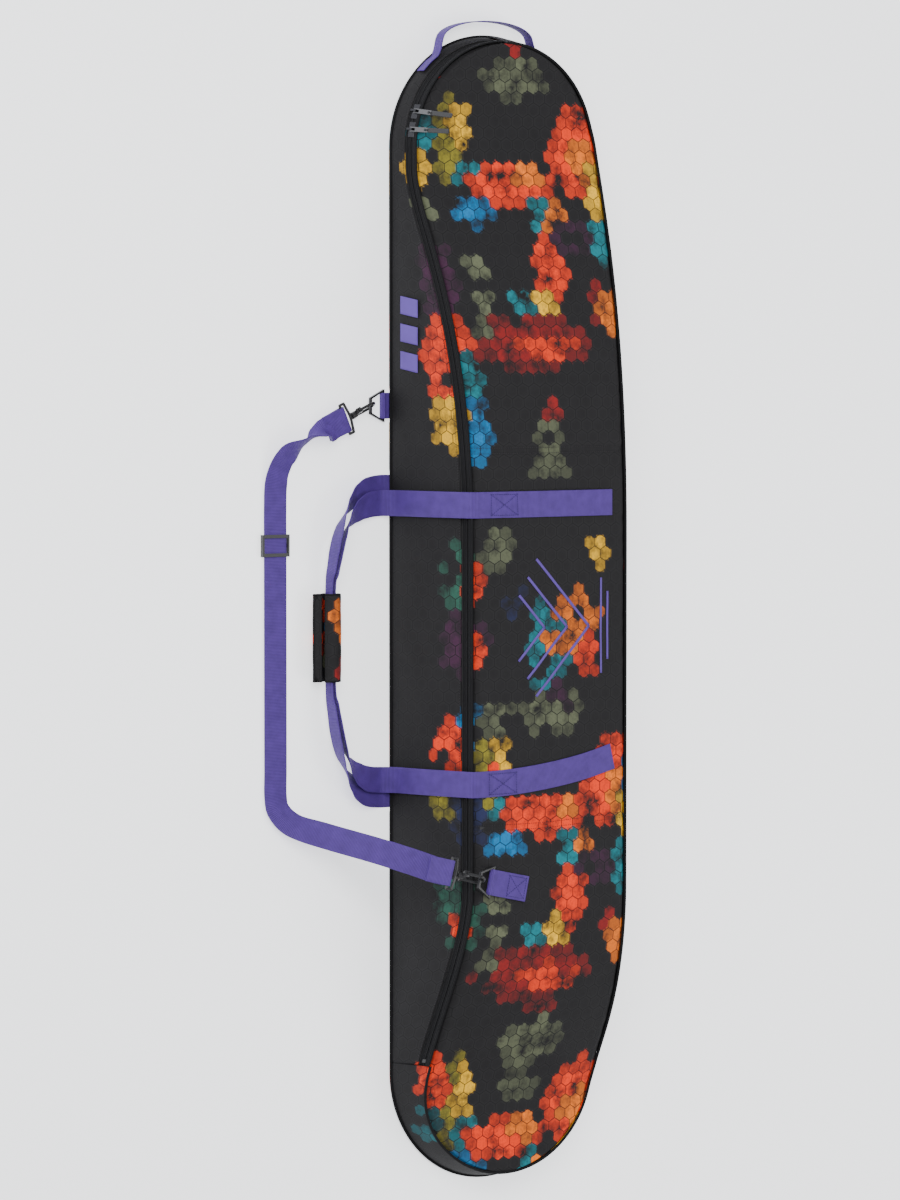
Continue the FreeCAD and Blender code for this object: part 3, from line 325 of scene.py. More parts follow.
def printedCloth():
    mat, shader, make = newMaterial("printedCloth", 0.78)
    tree = mat.node_tree
    flat = make("ShaderNodeUVMap", uv_map="flatMap").outputs[0]
    pitch = printSet["pitch"]
    swap = make("ShaderNodeSeparateXYZ", {0: flat})
    grid = make("ShaderNodeCombineXYZ", {0: swap.outputs[1], 1: swap.outputs[0]}).outputs[0]
    grid = make("ShaderNodeVectorMath", {0: grid, 1: (1 / pitch,) * 3}, operation="MULTIPLY").outputs[0]
    wide = (1.0, math.sqrt(3), 1.0)
    half = (0.5, math.sqrt(3) / 2, 0.5)
    nears = []
    for offset in ((0.0, 0.0, 0.0), half):
        moved = make("ShaderNodeVectorMath", {0: grid, 1: tuple(h - o for h, o in zip(half, offset))},
                     operation="ADD").outputs[0]
        wrapped = make("ShaderNodeVectorMath", {0: moved, 1: wide, 2: (0, 0, -1)}, operation="WRAP").outputs[0]
        near = make("ShaderNodeVectorMath", {0: wrapped, 1: half}, operation="SUBTRACT").outputs[0]
        near = make("ShaderNodeVectorMath", {0: near, 1: (1, 1, 0)}, operation="MULTIPLY").outputs[0]
        nears.append(near)
    lengths = [make("ShaderNodeVectorMath", {0: near}, operation="LENGTH").outputs["Value"] for near in nears]
    pick = make("ShaderNodeMath", {0: lengths[1], 1: lengths[0]}, operation="LESS_THAN").outputs[0]
    cell = make("ShaderNodeMix", {0: pick, 4: nears[0], 5: nears[1]}, data_type="VECTOR").outputs[1]
    spread = make("ShaderNodeVectorMath", {0: cell}, operation="ABSOLUTE").outputs[0]
    slant = make("ShaderNodeVectorMath", {0: spread, 1: (0.5, math.sqrt(3) / 2, 0)},
                 operation="DOT_PRODUCT").outputs["Value"]
    upright = make("ShaderNodeSeparateXYZ", {0: spread}).outputs[0]
    edge = make("ShaderNodeMath", {0: slant, 1: upright}, operation="MAXIMUM").outputs[0]
    line = make("ShaderNodeMapRange", {0: edge, 1: 0.455, 2: 0.492}, interpolation_type="SMOOTHSTEP").outputs[0]
    rimGlow = make("ShaderNodeMapRange", {0: edge, 1: 0.30, 2: 0.455}, interpolation_type="SMOOTHSTEP").outputs[0]

    ink = make("ShaderNodeAttribute", attribute_name="printInk")
    smoke = make("ShaderNodeTexNoise", {"Vector": flat, "Scale": 34.0, "Detail": 6.0, "Roughness": 0.62})
    grain = make("ShaderNodeTexNoise", {"Vector": flat, "Scale": 260.0, "Detail": 4.0})
    cloudy = make("ShaderNodeMapRange", {0: smoke.outputs[0], 1: 0.34, 2: 0.56}).outputs[0]
    worn = make("ShaderNodeMapRange", {0: grain.outputs[0], 1: 0.34, 2: 0.56, 3: 0.82, 4: 1.0}).outputs[0]
    strength = make("ShaderNodeMath", {0: ink.outputs["Alpha"], 1: cloudy}, operation="MULTIPLY").outputs[0]
    strength = make("ShaderNodeMath", {0: strength, 1: worn}, operation="MULTIPLY").outputs[0]
    ground = {0: smoke.outputs[0], 6: (0.0065, 0.006, 0.0068, 1), 7: (0.014, 0.0135, 0.015, 1)}
    base = make("ShaderNodeMix", ground, data_type="RGBA").outputs[2]
    faint = make("ShaderNodeMath", {0: rimGlow, 1: 0.5}, operation="MULTIPLY").outputs[0]
    base = make("ShaderNodeMix", {0: faint, 6: base, 7: (0.017, 0.0165, 0.018, 1)}, data_type="RGBA").outputs[2]
    inked = make("ShaderNodeMix", {0: strength, 6: base, 7: ink.outputs["Color"]}, data_type="RGBA").outputs[2]
    lined = make("ShaderNodeMix", {0: line, 6: inked, 7: (0.004, 0.004, 0.0045, 1)}, data_type="RGBA").outputs[2]
    tree.links.new(lined, shader.inputs["Base Color"])

    weaveScale = make("ShaderNodeVectorMath", {0: flat, 1: (1500, 1500, 1500)}, operation="MULTIPLY").outputs[0]
    weave = make("ShaderNodeTexChecker", {"Vector": weaveScale, "Scale": 1.0}).outputs[1]
    height = make("ShaderNodeMath", {0: weave, 1: grain.outputs[0]}, operation="ADD").outputs[0]
    bump = make("ShaderNodeBump", {"Height": height, "Strength": 0.25, "Distance": 0.0004}).outputs[0]
    tree.links.new(bump, shader.inputs["Normal"])
    shader.inputs["Specular IOR Level"].default_value = 0.25
    return mat


def plainCloth(name, colour, scale=900.0):
    mat, shader, make = newMaterial(name, 0.85)
    place = make("ShaderNodeTexCoord").outputs["Object"]
    fine = make("ShaderNodeTexNoise", {"Vector": place, "Scale": scale, "Detail": 2.0})
    broad = make("ShaderNodeTexNoise", {"Vector": place, "Scale": 18.0, "Detail": 3.0})
    mix = make("ShaderNodeMix", {0: broad.outputs[0], 6: (*[part * 0.75 for part in colour], 1),
                                 7: (*[part * 1.25 for part in colour], 1)}, data_type="RGBA").outputs[2]
    mat.node_tree.links.new(mix, shader.inputs["Base Color"])
    bump = make("ShaderNodeBump", {"Height": fine.outputs[0], "Strength": 0.35, "Distance": 0.0005}).outputs[0]
    mat.node_tree.links.new(bump, shader.inputs["Normal"])
    return mat


def webbingMaterial(name, colour, rib=0.0021):
    mat, shader, make = newMaterial(name, 0.62)
    tree = mat.node_tree
    flat = make("ShaderNodeUVMap", uv_map="flatMap").outputs[0]
    parts = make("ShaderNodeSeparateXYZ", {0: flat})
    turns = make("ShaderNodeMath", {0: parts.outputs[0], 1: 2 * math.pi / rib}, operation="MULTIPLY").outputs[0]
    across = make("ShaderNodeMath", {0: parts.outputs[1], 1: 2 * math.pi / 0.0016}, operation="MULTIPLY").outputs[0]
    ribs = make("ShaderNodeMath", {0: turns}, operation="SINE").outputs[0]
    warp = make("ShaderNodeMath", {0: across}, operation="SINE").outputs[0]
    small = make("ShaderNodeMath", {0: warp, 1: 0.35}, operation="MULTIPLY").outputs[0]
    height = make("ShaderNodeMath", {0: ribs, 1: small}, operation="ADD").outputs[0]
    # painted shade: the webbing colour is lighter on the rib crests and darker in the rib grooves, following the
    # bump height; the fuzz noise below adds a random tone on top
    paintedRibShade = make("ShaderNodeMapRange", {0: height, 1: -1.3, 2: 1.3, 3: 0.62, 4: 1.15}).outputs[0]
    fuzz = make("ShaderNodeTexNoise", {"Vector": flat, "Scale": 60.0, "Detail": 4.0}).outputs[0]
    wide = make("ShaderNodeMapRange", {0: fuzz, 1: 0.3, 2: 0.7, 3: 0.86, 4: 1.12}).outputs[0]
    power = make("ShaderNodeMath", {0: paintedRibShade, 1: wide}, operation="MULTIPLY").outputs[0]
    webColourWithRibShade = make("ShaderNodeVectorMath", {0: colour, 3: power}, operation="SCALE").outputs[0]
    tree.links.new(webColourWithRibShade, shader.inputs["Base Color"])
    bump = make("ShaderNodeBump", {"Height": height, "Strength": 0.5, "Distance": 0.0004}).outputs[0]
    tree.links.new(bump, shader.inputs["Normal"])
    shader.inputs["Specular IOR Level"].default_value = 0.3
    return mat


def hardMaterial(name, colour, rough, metal, grainScale=700.0):
    mat, shader, make = newMaterial(name, rough, metal, colour)
    place = make("ShaderNodeTexCoord").outputs["Object"]
    grain = make("ShaderNodeTexNoise", {"Vector": place, "Scale": grainScale, "Detail": 3.0}).outputs[0]
    spread = make("ShaderNodeMapRange", {0: grain, 3: rough * 0.7, 4: min(rough * 1.4, 1.0)}).outputs[0]
    mat.node_tree.links.new(spread, shader.inputs["Roughness"])
    bump = make("ShaderNodeBump", {"Height": grain, "Strength": 0.08, "Distance": 0.0003}).outputs[0]
    mat.node_tree.links.new(bump, shader.inputs["Normal"])
    return mat


cloth = printedCloth()
blackTape = plainCloth("blackTape", (0.0065, 0.0065, 0.0075))
blackTape.node_tree.nodes["Principled BSDF"].inputs["Specular IOR Level"].default_value = 0.18
liningCloth = plainCloth("liningCloth", (0.05, 0.05, 0.055))
foamLook = plainCloth("foamLook", (0.020, 0.020, 0.022), 400.0)
webbing = webbingMaterial("purpleWebbing", (0.078, 0.036, 0.245))
threadMat = plainCloth("seamThread", (0.020, 0.019, 0.022))
purpleThread = plainCloth("purpleThread", (0.028, 0.014, 0.115))
coilMat = hardMaterial("coilPlastic", (0.012, 0.012, 0.013), 0.45, 0.0)
darkMetal = hardMaterial("darkMetal", (0.030, 0.030, 0.034), 0.26, 0.9)
greyMetal = hardMaterial("greyMetal", (0.11, 0.11, 0.115), 0.36, 0.9)
softPlastic = hardMaterial("softPlastic", (0.014, 0.014, 0.016), 0.5, 0.0)
blackPlastic = hardMaterial("blackPlastic", (0.013, 0.013, 0.015), 0.33, 0.0)
steelMat = hardMaterial("pinSteel", (0.5, 0.5, 0.51), 0.3, 1.0)
printPurple = plainCloth("printPurple", (0.10, 0.055, 0.30))
print("materials made")


# ---- cloth of the bag --------------------------------------------------------
def mappedGrid(columns, rows, place, flatPlace):
    bm = bmesh.new()
    bmesh.ops.create_grid(bm, x_segments=columns, y_segments=rows, size=1.0, calc_uvs=True)
    layer = bm.loops.layers.uv.verify()
    flats = {}
    for vert in bm.verts:
        u, v = (vert.co.x + 1) / 2, (vert.co.y + 1) / 2
        flats[vert.index] = flatPlace(u, v)
        vert.co = place(u, v)
    for face in bm.faces:
        for loop in face.loops:
            loop[layer].uv = flats[loop.vert.index]
    return bm


def nameMap(obj):
    obj.data.uv_layers[0].name = "flatMap"
    return obj


strapPlaces = (-0.160, 0.245)


def strapPress(x, y):
    press = 0.0
    for middle in strapPlaces:
        gap = abs(x - middle)
        if y < 0.125:
            press += 0.0008 * (1 - smoothStep(0.019, 0.045, gap))
    return press


def topPlace(u, v):
    along = -1 + 2 * u
    long = endX + quarter
    d = along * long
    edgeZ = bagShape["endDeep"]
    side = 2 * v - 1
    if abs(d) <= endX:
        x, share = d, 1.0
    else:
        turn = min((abs(d) - endX) / quarter, 0.9965) * math.pi / 2
        x = math.copysign(endX + roundHalf(edgeZ) * math.sin(turn), d)
        share = math.cos(turn)
    way = 1 if side > 0 else -1
    high = sideHeight(x, way)
    half = roundHalf(high)
    y = shiftAt(high) + half * side * share
    z = frontHeight(x, y)
    rim = 1 - abs(side)
    edgeGap = min(half * share * rim, (bagShape["halfLong"] - 0.008 - abs(x)) * 0.8 + 0.002)
    crown = 0.0035 * (1 - (1 - smoothStep(0, 0.11, edgeGap)) ** 2)
    roll = 0.0052 * (1 - smoothStep(0.0, 0.011, edgeGap)) ** 2
    slow = noise.noise(Vector((x * 6, y * 9, 1.7))) * 0.0022 + noise.noise(Vector((x * 17, y * 22, 4.1))) * 0.0011
    pucker = noise.noise(Vector((x * 62, y * 12, 8.0))) * 0.0011 * (1 - smoothStep(0.004, 0.045, edgeGap))
    seams = 0.0
    for seam in (-0.238, 0.309):
        seams -= 0.0016 * math.exp(-((x - seam - 0.06 * max(y, 0) * (seam > 0) * -1) / 0.006) ** 2)
    z += (crown + slow * smoothStep(0, 0.03, edgeGap) + pucker + seams - roll - strapPress(x, y))
    return Vector((x, y, z))


def topFlat(u, v):
    spot = topPlace(u, v)
    return (spot.x, spot.y)


def makeTop():
    bm = mappedGrid(560, 96, topPlace, topFlat)
    rim = [edge for edge in bm.edges if edge.is_boundary]
    made = bmesh.ops.extrude_edge_only(bm, edges=rim)["geom"]
    for vert in [item for item in made if isinstance(item, bmesh.types.BMVert)]:
        vert.co.z -= 0.004
        vert.co.y *= 0.996
    obj = nameMap(finishPiece(bm, "frontCover", cloth, "bag"))
    paintCells(obj)
    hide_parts("front_nose_panel", "front_middle_panel", "front_tail_panel")
    return obj


def wallPoint(along, share, side, low, dropTop):
    seam = seamHeight(along, side) - dropTop
    z = low + (seam - low) * share
    bulge = 0.0045 * math.sin(math.pi * share) * min(seam / 0.14, 1)
    wobble = noise.noise(Vector((along * 9 + side * 3, z * 16, 2.2))) * 0.0020
    wobble += noise.noise(Vector((along * 40, z * 9, 6.6))) * 0.0009 * (1 - abs(2 * share - 1))
    soft = math.sin(math.pi * min(max(share, 0), 1)) ** 0.5 if 0 < share < 1 else 0
    return outlinePoint(along, side, z, bulge + wobble * soft)


def makeWall(name, side, start, end, dropTop, node, columns, rows=34):
    def place(u, v):
        return wallPoint(start + (end - start) * u, v, side, 0.0027, dropTop)

    def flatPlace(u, v):
        along = start + (end - start) * u
        spot = wallPoint(along, v, side, 0.0027, dropTop)
        seam = seamHeight(along, side)
        edge = roundHalf(seam)
        straight = -endX - (quarter - along) if along < quarter else along - quarter - endX
        return (straight, side * (edge + (seam - spot.z) * 1.03) + shiftAt(seam))
    bm = mappedGrid(columns, rows, place, flatPlace)
    obj = nameMap(finishPiece(bm, name, cloth, "bag"))
    paintCells(obj)
    thicken(obj, 0.0012, offset=-1.0)
    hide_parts(node)
    return obj


def makeBack():
    def place(u, v):
        along = (-1 + 2 * u) * (endX + quarter)
        if abs(along) <= endX:
            x, share = along, 1.0
        else:
            turn = min((abs(along) - endX) / quarter, 0.9965) * math.pi / 2
            x, share = math.copysign(endX + bagShape["half"] * math.sin(turn), along), math.cos(turn)
        side = 2 * v - 1
        y = bagShape["half"] * side * share
        hollow = 0.0
        for middle, inner in ((-0.182, -0.045), (0.267, -0.045), (-0.302, -0.099)):
            if y < inner + 0.004:
                hollow = max(hollow, 0.0023 * (1 - smoothStep(0.0192, 0.026, abs(x - middle))))
        return Vector((x, y, 0.0002 + hollow))
    bm = mappedGrid(420, 72, place, lambda u, v: tuple(place(u, v).xy))
    obj = nameMap(finishPiece(bm, "backCover", cloth, "bag"))
    paintCells(obj)
    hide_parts("back_panel")
    return obj


makeTop()
print("front cover made")
tailStart = quarter + endX + 0.662
makeWall("zipSideWall", -1, 0.0006, tailStart - 0.0002, 0.0265, "zip_side_gusset", 460)
makeWall("plainSideWall", 1, 0.0006, tailStart - 0.0002, 0.0026, "plain_side_gusset", 460)


def makeTailWall():
    start = tailStart + 0.0002
    reach = sideLong - start

    def sideAlong(u):
        if u < 0.5:
            return start + reach * 2 * u, -1
        return sideLong - reach * (2 * u - 1), 1

    def place(u, v):
        along, side = sideAlong(u)
        return wallPoint(min(along, sideLong - 1e-6), v, side, 0.0027, 0.0026)

    def flatPlace(u, v):
        along, side = sideAlong(u)
        spot = place(u, v)
        seam = seamHeight(min(along, sideLong - 1e-6), side)
        return (along - quarter - endX, side * (roundHalf(seam) + (seam - spot.z) * 1.03))
    bm = mappedGrid(200, 20, place, flatPlace)
    obj = nameMap(finishPiece(bm, "tailWall", cloth, "bag"))
    paintCells(obj)
    thicken(obj, 0.0012, offset=-1.0)
    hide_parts("tail_gusset")


makeTailWall()
makeBack()
print("walls and back made")


# ---- piping, zip bands and stitches ------------------------------------------
def sweptBand(name, material, body, path, profile, nodes):
    rows = len(profile)

    def place(u, v):
        base, outward, upward = path[min(int(round(u * (len(path) - 1))), len(path) - 1)]
        rise, out = profile[min(int(round(v * (rows - 1))), rows - 1)]
        return base + outward * out + upward * rise

    def flatPlace(u, v):
        return (u * len(path) * 0.004, v * 0.02)
    bm = mappedGrid(len(path) - 1, rows - 1, place, flatPlace)
    bmesh.ops.remove_doubles(bm, verts=bm.verts, dist=1e-6)
    ends = [edge for edge in bm.edges if edge.is_boundary]
    bmesh.ops.holes_fill(bm, edges=ends, sides=rows + 2)
    obj = nameMap(finishPiece(bm, name, material, body))
    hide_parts(*nodes)
    return obj


def seamPath(side, start, end, step, level):
    count = max(int((end - start) / step), 2)
    path = []
    for index in range(count + 1):
        along = start + (end - start) * index / count
        z = level(along)
        base = outlinePoint(along, side, z)
        outward = (outlinePoint(along, side, z, 0.01) - base).normalized()
        path.append((base, outward, Vector((0, 0, 1))))
    return path


def roundProfile(radius, out, steps=10):
    return [(radius * math.sin(2 * math.pi * i / steps), out + radius * math.cos(2 * math.pi * i / steps))
            for i in range(steps)] + [(0.0, out + radius)]


def frontPipingPath():
    plain = seamPath(1, 0.004, sideLong - 1e-6, 0.006, lambda along: seamHeight(along, 1) - 0.0022)
    around = seamPath(-1, tailStart, sideLong - 1e-6, 0.006, lambda along: seamHeight(along, -1) - 0.0022)
    return plain + around[::-1]


def backPipingPath():
    plain = seamPath(1, 1e-6, sideLong - 1e-6, 0.006, lambda along: 0.0047)
    zipped = seamPath(-1, 1e-6, sideLong - 1e-6, 0.006, lambda along: 0.0047)
    return plain + zipped[::-1] + plain[:1]


sweptBand("frontPiping", blackTape, "bag", frontPipingPath(), roundProfile(0.0021, 0.0010),
          ["front_piping"])
sweptBand("backPiping", blackTape, "bag", backPipingPath(), roundProfile(0.0020, 0.0012),
          ["back_piping"])

zipBand = {"start": 0.0015, "end": tailStart - 0.0005, "middle": 0.014}
# rise and reach of the ribbed tape, from its outer edge in to the coil
tapeFront = [(0.0122, -0.0006), (0.0122, 0.0006), (0.0112, 0.0016), (0.0098, 0.0018), (0.0092, 0.0008),
             (0.0078, 0.0008), (0.0072, 0.0014), (0.0062, 0.0014), (0.0056, 0.0007), (0.0030, 0.0007),
             (0.0022, 0.0014), (0.0014, 0.0016), (0.0010, 0.0008), (0.0010, -0.0006), (0.0122, -0.0006)]
tapeSide = [(-rise, out) for rise, out in tapeFront]
coilFront = [(0.0033, -0.0030), (0.0033, -0.0010), (0.0009, -0.0010), (0.0009, -0.0030), (0.0033, -0.0030)]
coilSide = [(-rise, out) for rise, out in coilFront]
zipPath = seamPath(-1, zipBand["start"], zipBand["end"], 0.004,
                   lambda along: seamHeight(along, -1) - zipBand["middle"])
sweptBand("zipTapeFront", blackTape, "bag", zipPath, tapeFront, ["zip_tape_front"])
sweptBand("zipTapeSide", blackTape, "bag", zipPath, tapeSide, ["zip_tape_side"])
sweptBand("zipCoilFront", coilMat, "bag", zipPath, coilFront, ["zip_coil_front"])
sweptBand("zipCoilSide", coilMat, "bag", zipPath, coilSide, ["zip_coil_side"])
print("piping and zip made")


def stitchRow(name, spots, material, body, long=0.0026, thick=0.00045, pitch=0.0038):
    bm = bmesh.new()
    walked, due = 0.0, 0.0
    for (here, up), (after, _) in zip(spots, spots[1:]):
        step = (after - here).length
        while step > 0 and due <= walked + step:
            middle = here.lerp(after, (due - walked) / step)
            ahead = (after - here).normalized()
            side = up.cross(ahead).normalized()
            turn = Matrix((ahead, side, ahead.cross(side))).transposed().to_4x4()
            scale = Matrix.Diagonal((long / 2, thick, thick, 1))
            bmesh.ops.create_icosphere(bm, subdivisions=1, radius=1.0,
                                       matrix=Matrix.Translation(middle + up * thick * 0.3) @ turn @ scale)
            due += pitch
        walked += step
    return finishPiece(bm, name, material, body)


def topSpot(x, y, lift=0.0):
    z = bagShape["endDeep"]
    for _ in range(3):
        z = frontHeight(x, y)
    side = (y - shiftAt(z)) / max(roundHalf(z), 1e-6)
    u = (x / (endX + quarter) + 1) / 2 if abs(x) <= endX else None
    spot = topPlace(u, (side + 1) / 2) if u is not None else Vector((x, y, z))
    return Vector((spot.x, spot.y, spot.z + lift))


def crossSeam(name, middle, skew):
    for number, gap in enumerate((-0.004, 0.004)):
        spots = [(topSpot(middle + gap + skew * max(y, 0), y, 0.0003), Vector((0, 0, 1)))
                 for y in [(-0.124 + 0.262 * i / 60) for i in range(61)]]
        stitchRow("%s%d" % (name, number), spots, threadMat, "bag")


crossSeam("noseSeamStitch", -0.238, 0.0)
crossSeam("tailSeamStitch", 0.309, -0.06)


def zipStitches():
    path = seamPath(-1, 0.02, zipBand["end"] - 0.01, 0.006, lambda along: seamHeight(along, -1) - 0.0285)
    spots = [(base + outward * 0.0012, outward) for base, outward, _ in path]
    stitchRow("zipSideStitch", spots, threadMat, "bag")


zipStitches()
print("stitches made")


# ---- webbing -----------------------------------------------------------------
def ribbonFrames(points, acrosses):
    frames = []
    for index, point in enumerate(points):
        ahead = (points[min(index + 1, len(points) - 1)] - points[max(index - 1, 0)]).normalized()
        side = acrosses[index] - ahead * acrosses[index].dot(ahead)
        frames.append((point, side.normalized(), ahead))
    return frames


def smoothRoute(stops, step):
    points, acrosses, widths, lifts = [], [], [], []
    for index in range(len(stops) - 1):
        p1, p2 = stops[index], stops[index + 1]
        p0 = stops[index - 1] if index else p1
        p3 = stops[index + 2] if index + 2 < len(stops) else p2
        count = max(int((p2[0] - p1[0]).length / step), 1)
        for part in range(count):
            t = part / count
            point = 0.5 * (2 * p1[0] + (p2[0] - p0[0]) * t + (2 * p0[0] - 5 * p1[0] + 4 * p2[0] - p3[0]) * t * t
                           + (3 * p1[0] - p0[0] - 3 * p2[0] + p3[0]) * t ** 3)
            ease = t * t * (3 - 2 * t)
            points.append(point)
            acrosses.append(p1[1].normalized().lerp(p2[1].normalized(), ease))
            widths.append(p1[2] + (p2[2] - p1[2]) * ease)
            lifts.append(p1[3] + (p2[3] - p1[3]) * ease if len(p1) > 3 and len(p2) > 3 else 0.0)
    points.append(stops[-1][0])
    acrosses.append(stops[-1][1].normalized())
    widths.append(stops[-1][2])
    lifts.append(stops[-1][3] if len(stops[-1]) > 3 else 0.0)
    return points, acrosses, widths, lifts


def makeRibbon(name, stops, material, body, nodes, thick=0.0015, step=0.004, columns=8):
    points, acrosses, widths, lifts = smoothRoute(stops, step)
    frames = ribbonFrames(points, acrosses)
    lengths = [0.0]
    for before, after in zip(points, points[1:]):
        lengths.append(lengths[-1] + (after - before).length)

    def place(u, v):
        index = min(int(round(u * (len(points) - 1))), len(points) - 1)
        point, side, ahead = frames[index]
        share = 2 * v - 1
        face = ahead.cross(side)
        cup = lifts[index] * (share * share - 0.5)
        return point + side * (widths[index] / 2 * share) + face * cup

    def flatPlace(u, v):
        index = min(int(round(u * (len(points) - 1))), len(points) - 1)
        return (lengths[index], (v - 0.5) * 0.038)
    bm = mappedGrid(len(points) - 1, columns, place, flatPlace)
    obj = nameMap(finishPiece(bm, name, material, body))
    thicken(obj, thick, 0.0004)
    if nodes:
        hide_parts(*nodes)
    print(name, "length", round(lengths[-1], 3))
    return obj


alongX = Vector((1, 0, 0))
upZ = Vector((0, 0, 1))
webSet = {"wide": 0.038, "hingeY": -0.183, "hingeZ": 0.005}
gripSet = {"start": -0.031, "end": 0.097, "y": -0.279, "z": 0.019, "radius": 0.015, "wall": 0.004}


def overTop(x, endX2, endY=0.120):
    stops = []
    edgeY = -(bagShape["half"] - bagShape["zipDraft"] * bagShape["deep"])
    for share in (1.0, 0.8, 0.6, 0.4, 0.2, 0.08):
        y = edgeY + (endY - edgeY) * share
        sx = x + (endX2 - x) * share ** 2
        high = max(topSpot(sx - 0.019, y).z, topSpot(sx + 0.019, y).z, topSpot(sx, y).z)
        stops.append((Vector((sx, y, high + 0.0013)), alongX, webSet["wide"]))
    high = stops[-1][0].z
    stops.append((Vector((x, edgeY + 0.0030, high + 0.0004)), alongX, webSet["wide"]))
    stops.append((Vector((x, edgeY - 0.0040, high - 0.0018)), alongX, webSet["wide"]))
    stops.append((Vector((x, edgeY - 0.0074, high - 0.0065)), alongX, webSet["wide"]))
    for z in (high - 0.014, high - 0.030, high * 0.55, high * 0.34, 0.024):
        y = -(bagShape["half"] - bagShape["zipDraft"] * z) - 0.0056 - 0.0030 * math.sin(math.pi * z / high)
        stops.append((Vector((x, y, z)), alongX, webSet["wide"]))
    stops.append((Vector((x, webSet["hingeY"] + 0.007, 0.0095)), alongX, webSet["wide"]))
    stops.append((Vector((x, webSet["hingeY"], webSet["hingeZ"] + 0.0004)), alongX, webSet["wide"]))
    return stops


def legStops(fromX, fromZ, toX, shift, count=9):
    way = 1 if toX > fromX else -1
    innerY = gripSet["y"] + shift
    poles = [Vector((fromX, webSet["hingeY"] - 0.001, fromZ)),
             Vector((fromX, innerY * 0.7 - 0.184 * 0.3, fromZ + 0.018)),
             Vector((fromX + way * abs(toX - fromX) * 0.35, innerY, gripSet["z"] + 0.018)),
             Vector((toX, innerY, gripSet["z"]))]
    gripAcross = Vector((0, 0.1, 1))
    folded = (gripSet["radius"] - gripSet["wall"]) * 1.5
    stops = []
    for index in range(count):
        t = index / (count - 1)
        parts = [(1 - t) ** 3, 3 * t * (1 - t) ** 2, 3 * t * t * (1 - t), t ** 3]
        spot = sum((parts[i] * poles[i] for i in range(4)), Vector((0, 0, 0)))
        across = alongX * (1 - t) * -way + gripAcross * t ** 1.2
        stops.append((spot, across * -way, webSet["wide"] + (folded - webSet["wide"]) * t * t))
    return stops


def haulWebbing(name, upperTop, lowerTop, upperX, lowerX, fromZ, shift, nodes):
    upper = legStops(upperX, fromZ, gripSet["start"] - 0.004, shift)
    lower = legStops(lowerX, fromZ, gripSet["end"] + 0.004, shift)
    lower = [(spot, -across, wide) for spot, across, wide in lower]
    stops = upperTop + upper[1:] + lower[::-1][:-1] + lowerTop[::-1]
    fixed = [stops[0]]
    for spot, across, wide in stops[1:]:
        if across.normalized().dot(fixed[-1][1].normalized()) < -0.05:
            across = -across
        fixed.append((spot, across, wide))
    obj = makeRibbon(name, fixed, webbing, None, nodes, columns=8)
    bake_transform(obj)
    return obj


frontUpper = overTop(strapPlaces[0], strapPlaces[0])
frontLower = overTop(strapPlaces[1], 0.213)
haulWebbing("frontHaulWebbing", frontUpper, frontLower, strapPlaces[0], strapPlaces[1], webSet["hingeZ"], 0.0026,
            ["front_haul_strap_upper", "front_haul_strap_lower", "front_handle_loop"])


def underBack(x):
    return [(Vector((x, y, 0.0011)), alongX, webSet["wide"]) for y in (-0.045, -0.09, -0.13, -0.165, -0.182)]


haulWebbing("backHaulWebbing", underBack(-0.182), underBack(0.267), -0.182, 0.267, 0.0016, -0.0026,
            ["back_haul_strap_upper", "back_haul_strap_lower", "back_handle_loop"])
print("haul webbing made")


def stopAt(x, y, z, across, wide=0.038, cup=0.0):
    return (Vector((x, y, z)), Vector(across), wide, cup)


strapSet = {"run": -0.364, "loop": 0.00405,
            "topBar": Vector((-0.28236, -0.24935, 0.01121)), "topWay": Vector((0.4024, -0.9155, 0)),
            "topSide": Vector((0.9155, 0.4024, 0)), "lowBar": Vector((0.3699, -0.16813, 0.16282)),
            "lowWay": Vector((-0.2423, -0.949, -0.2019)), "lowSide": Vector((0.9689, -0.2474, 0))}


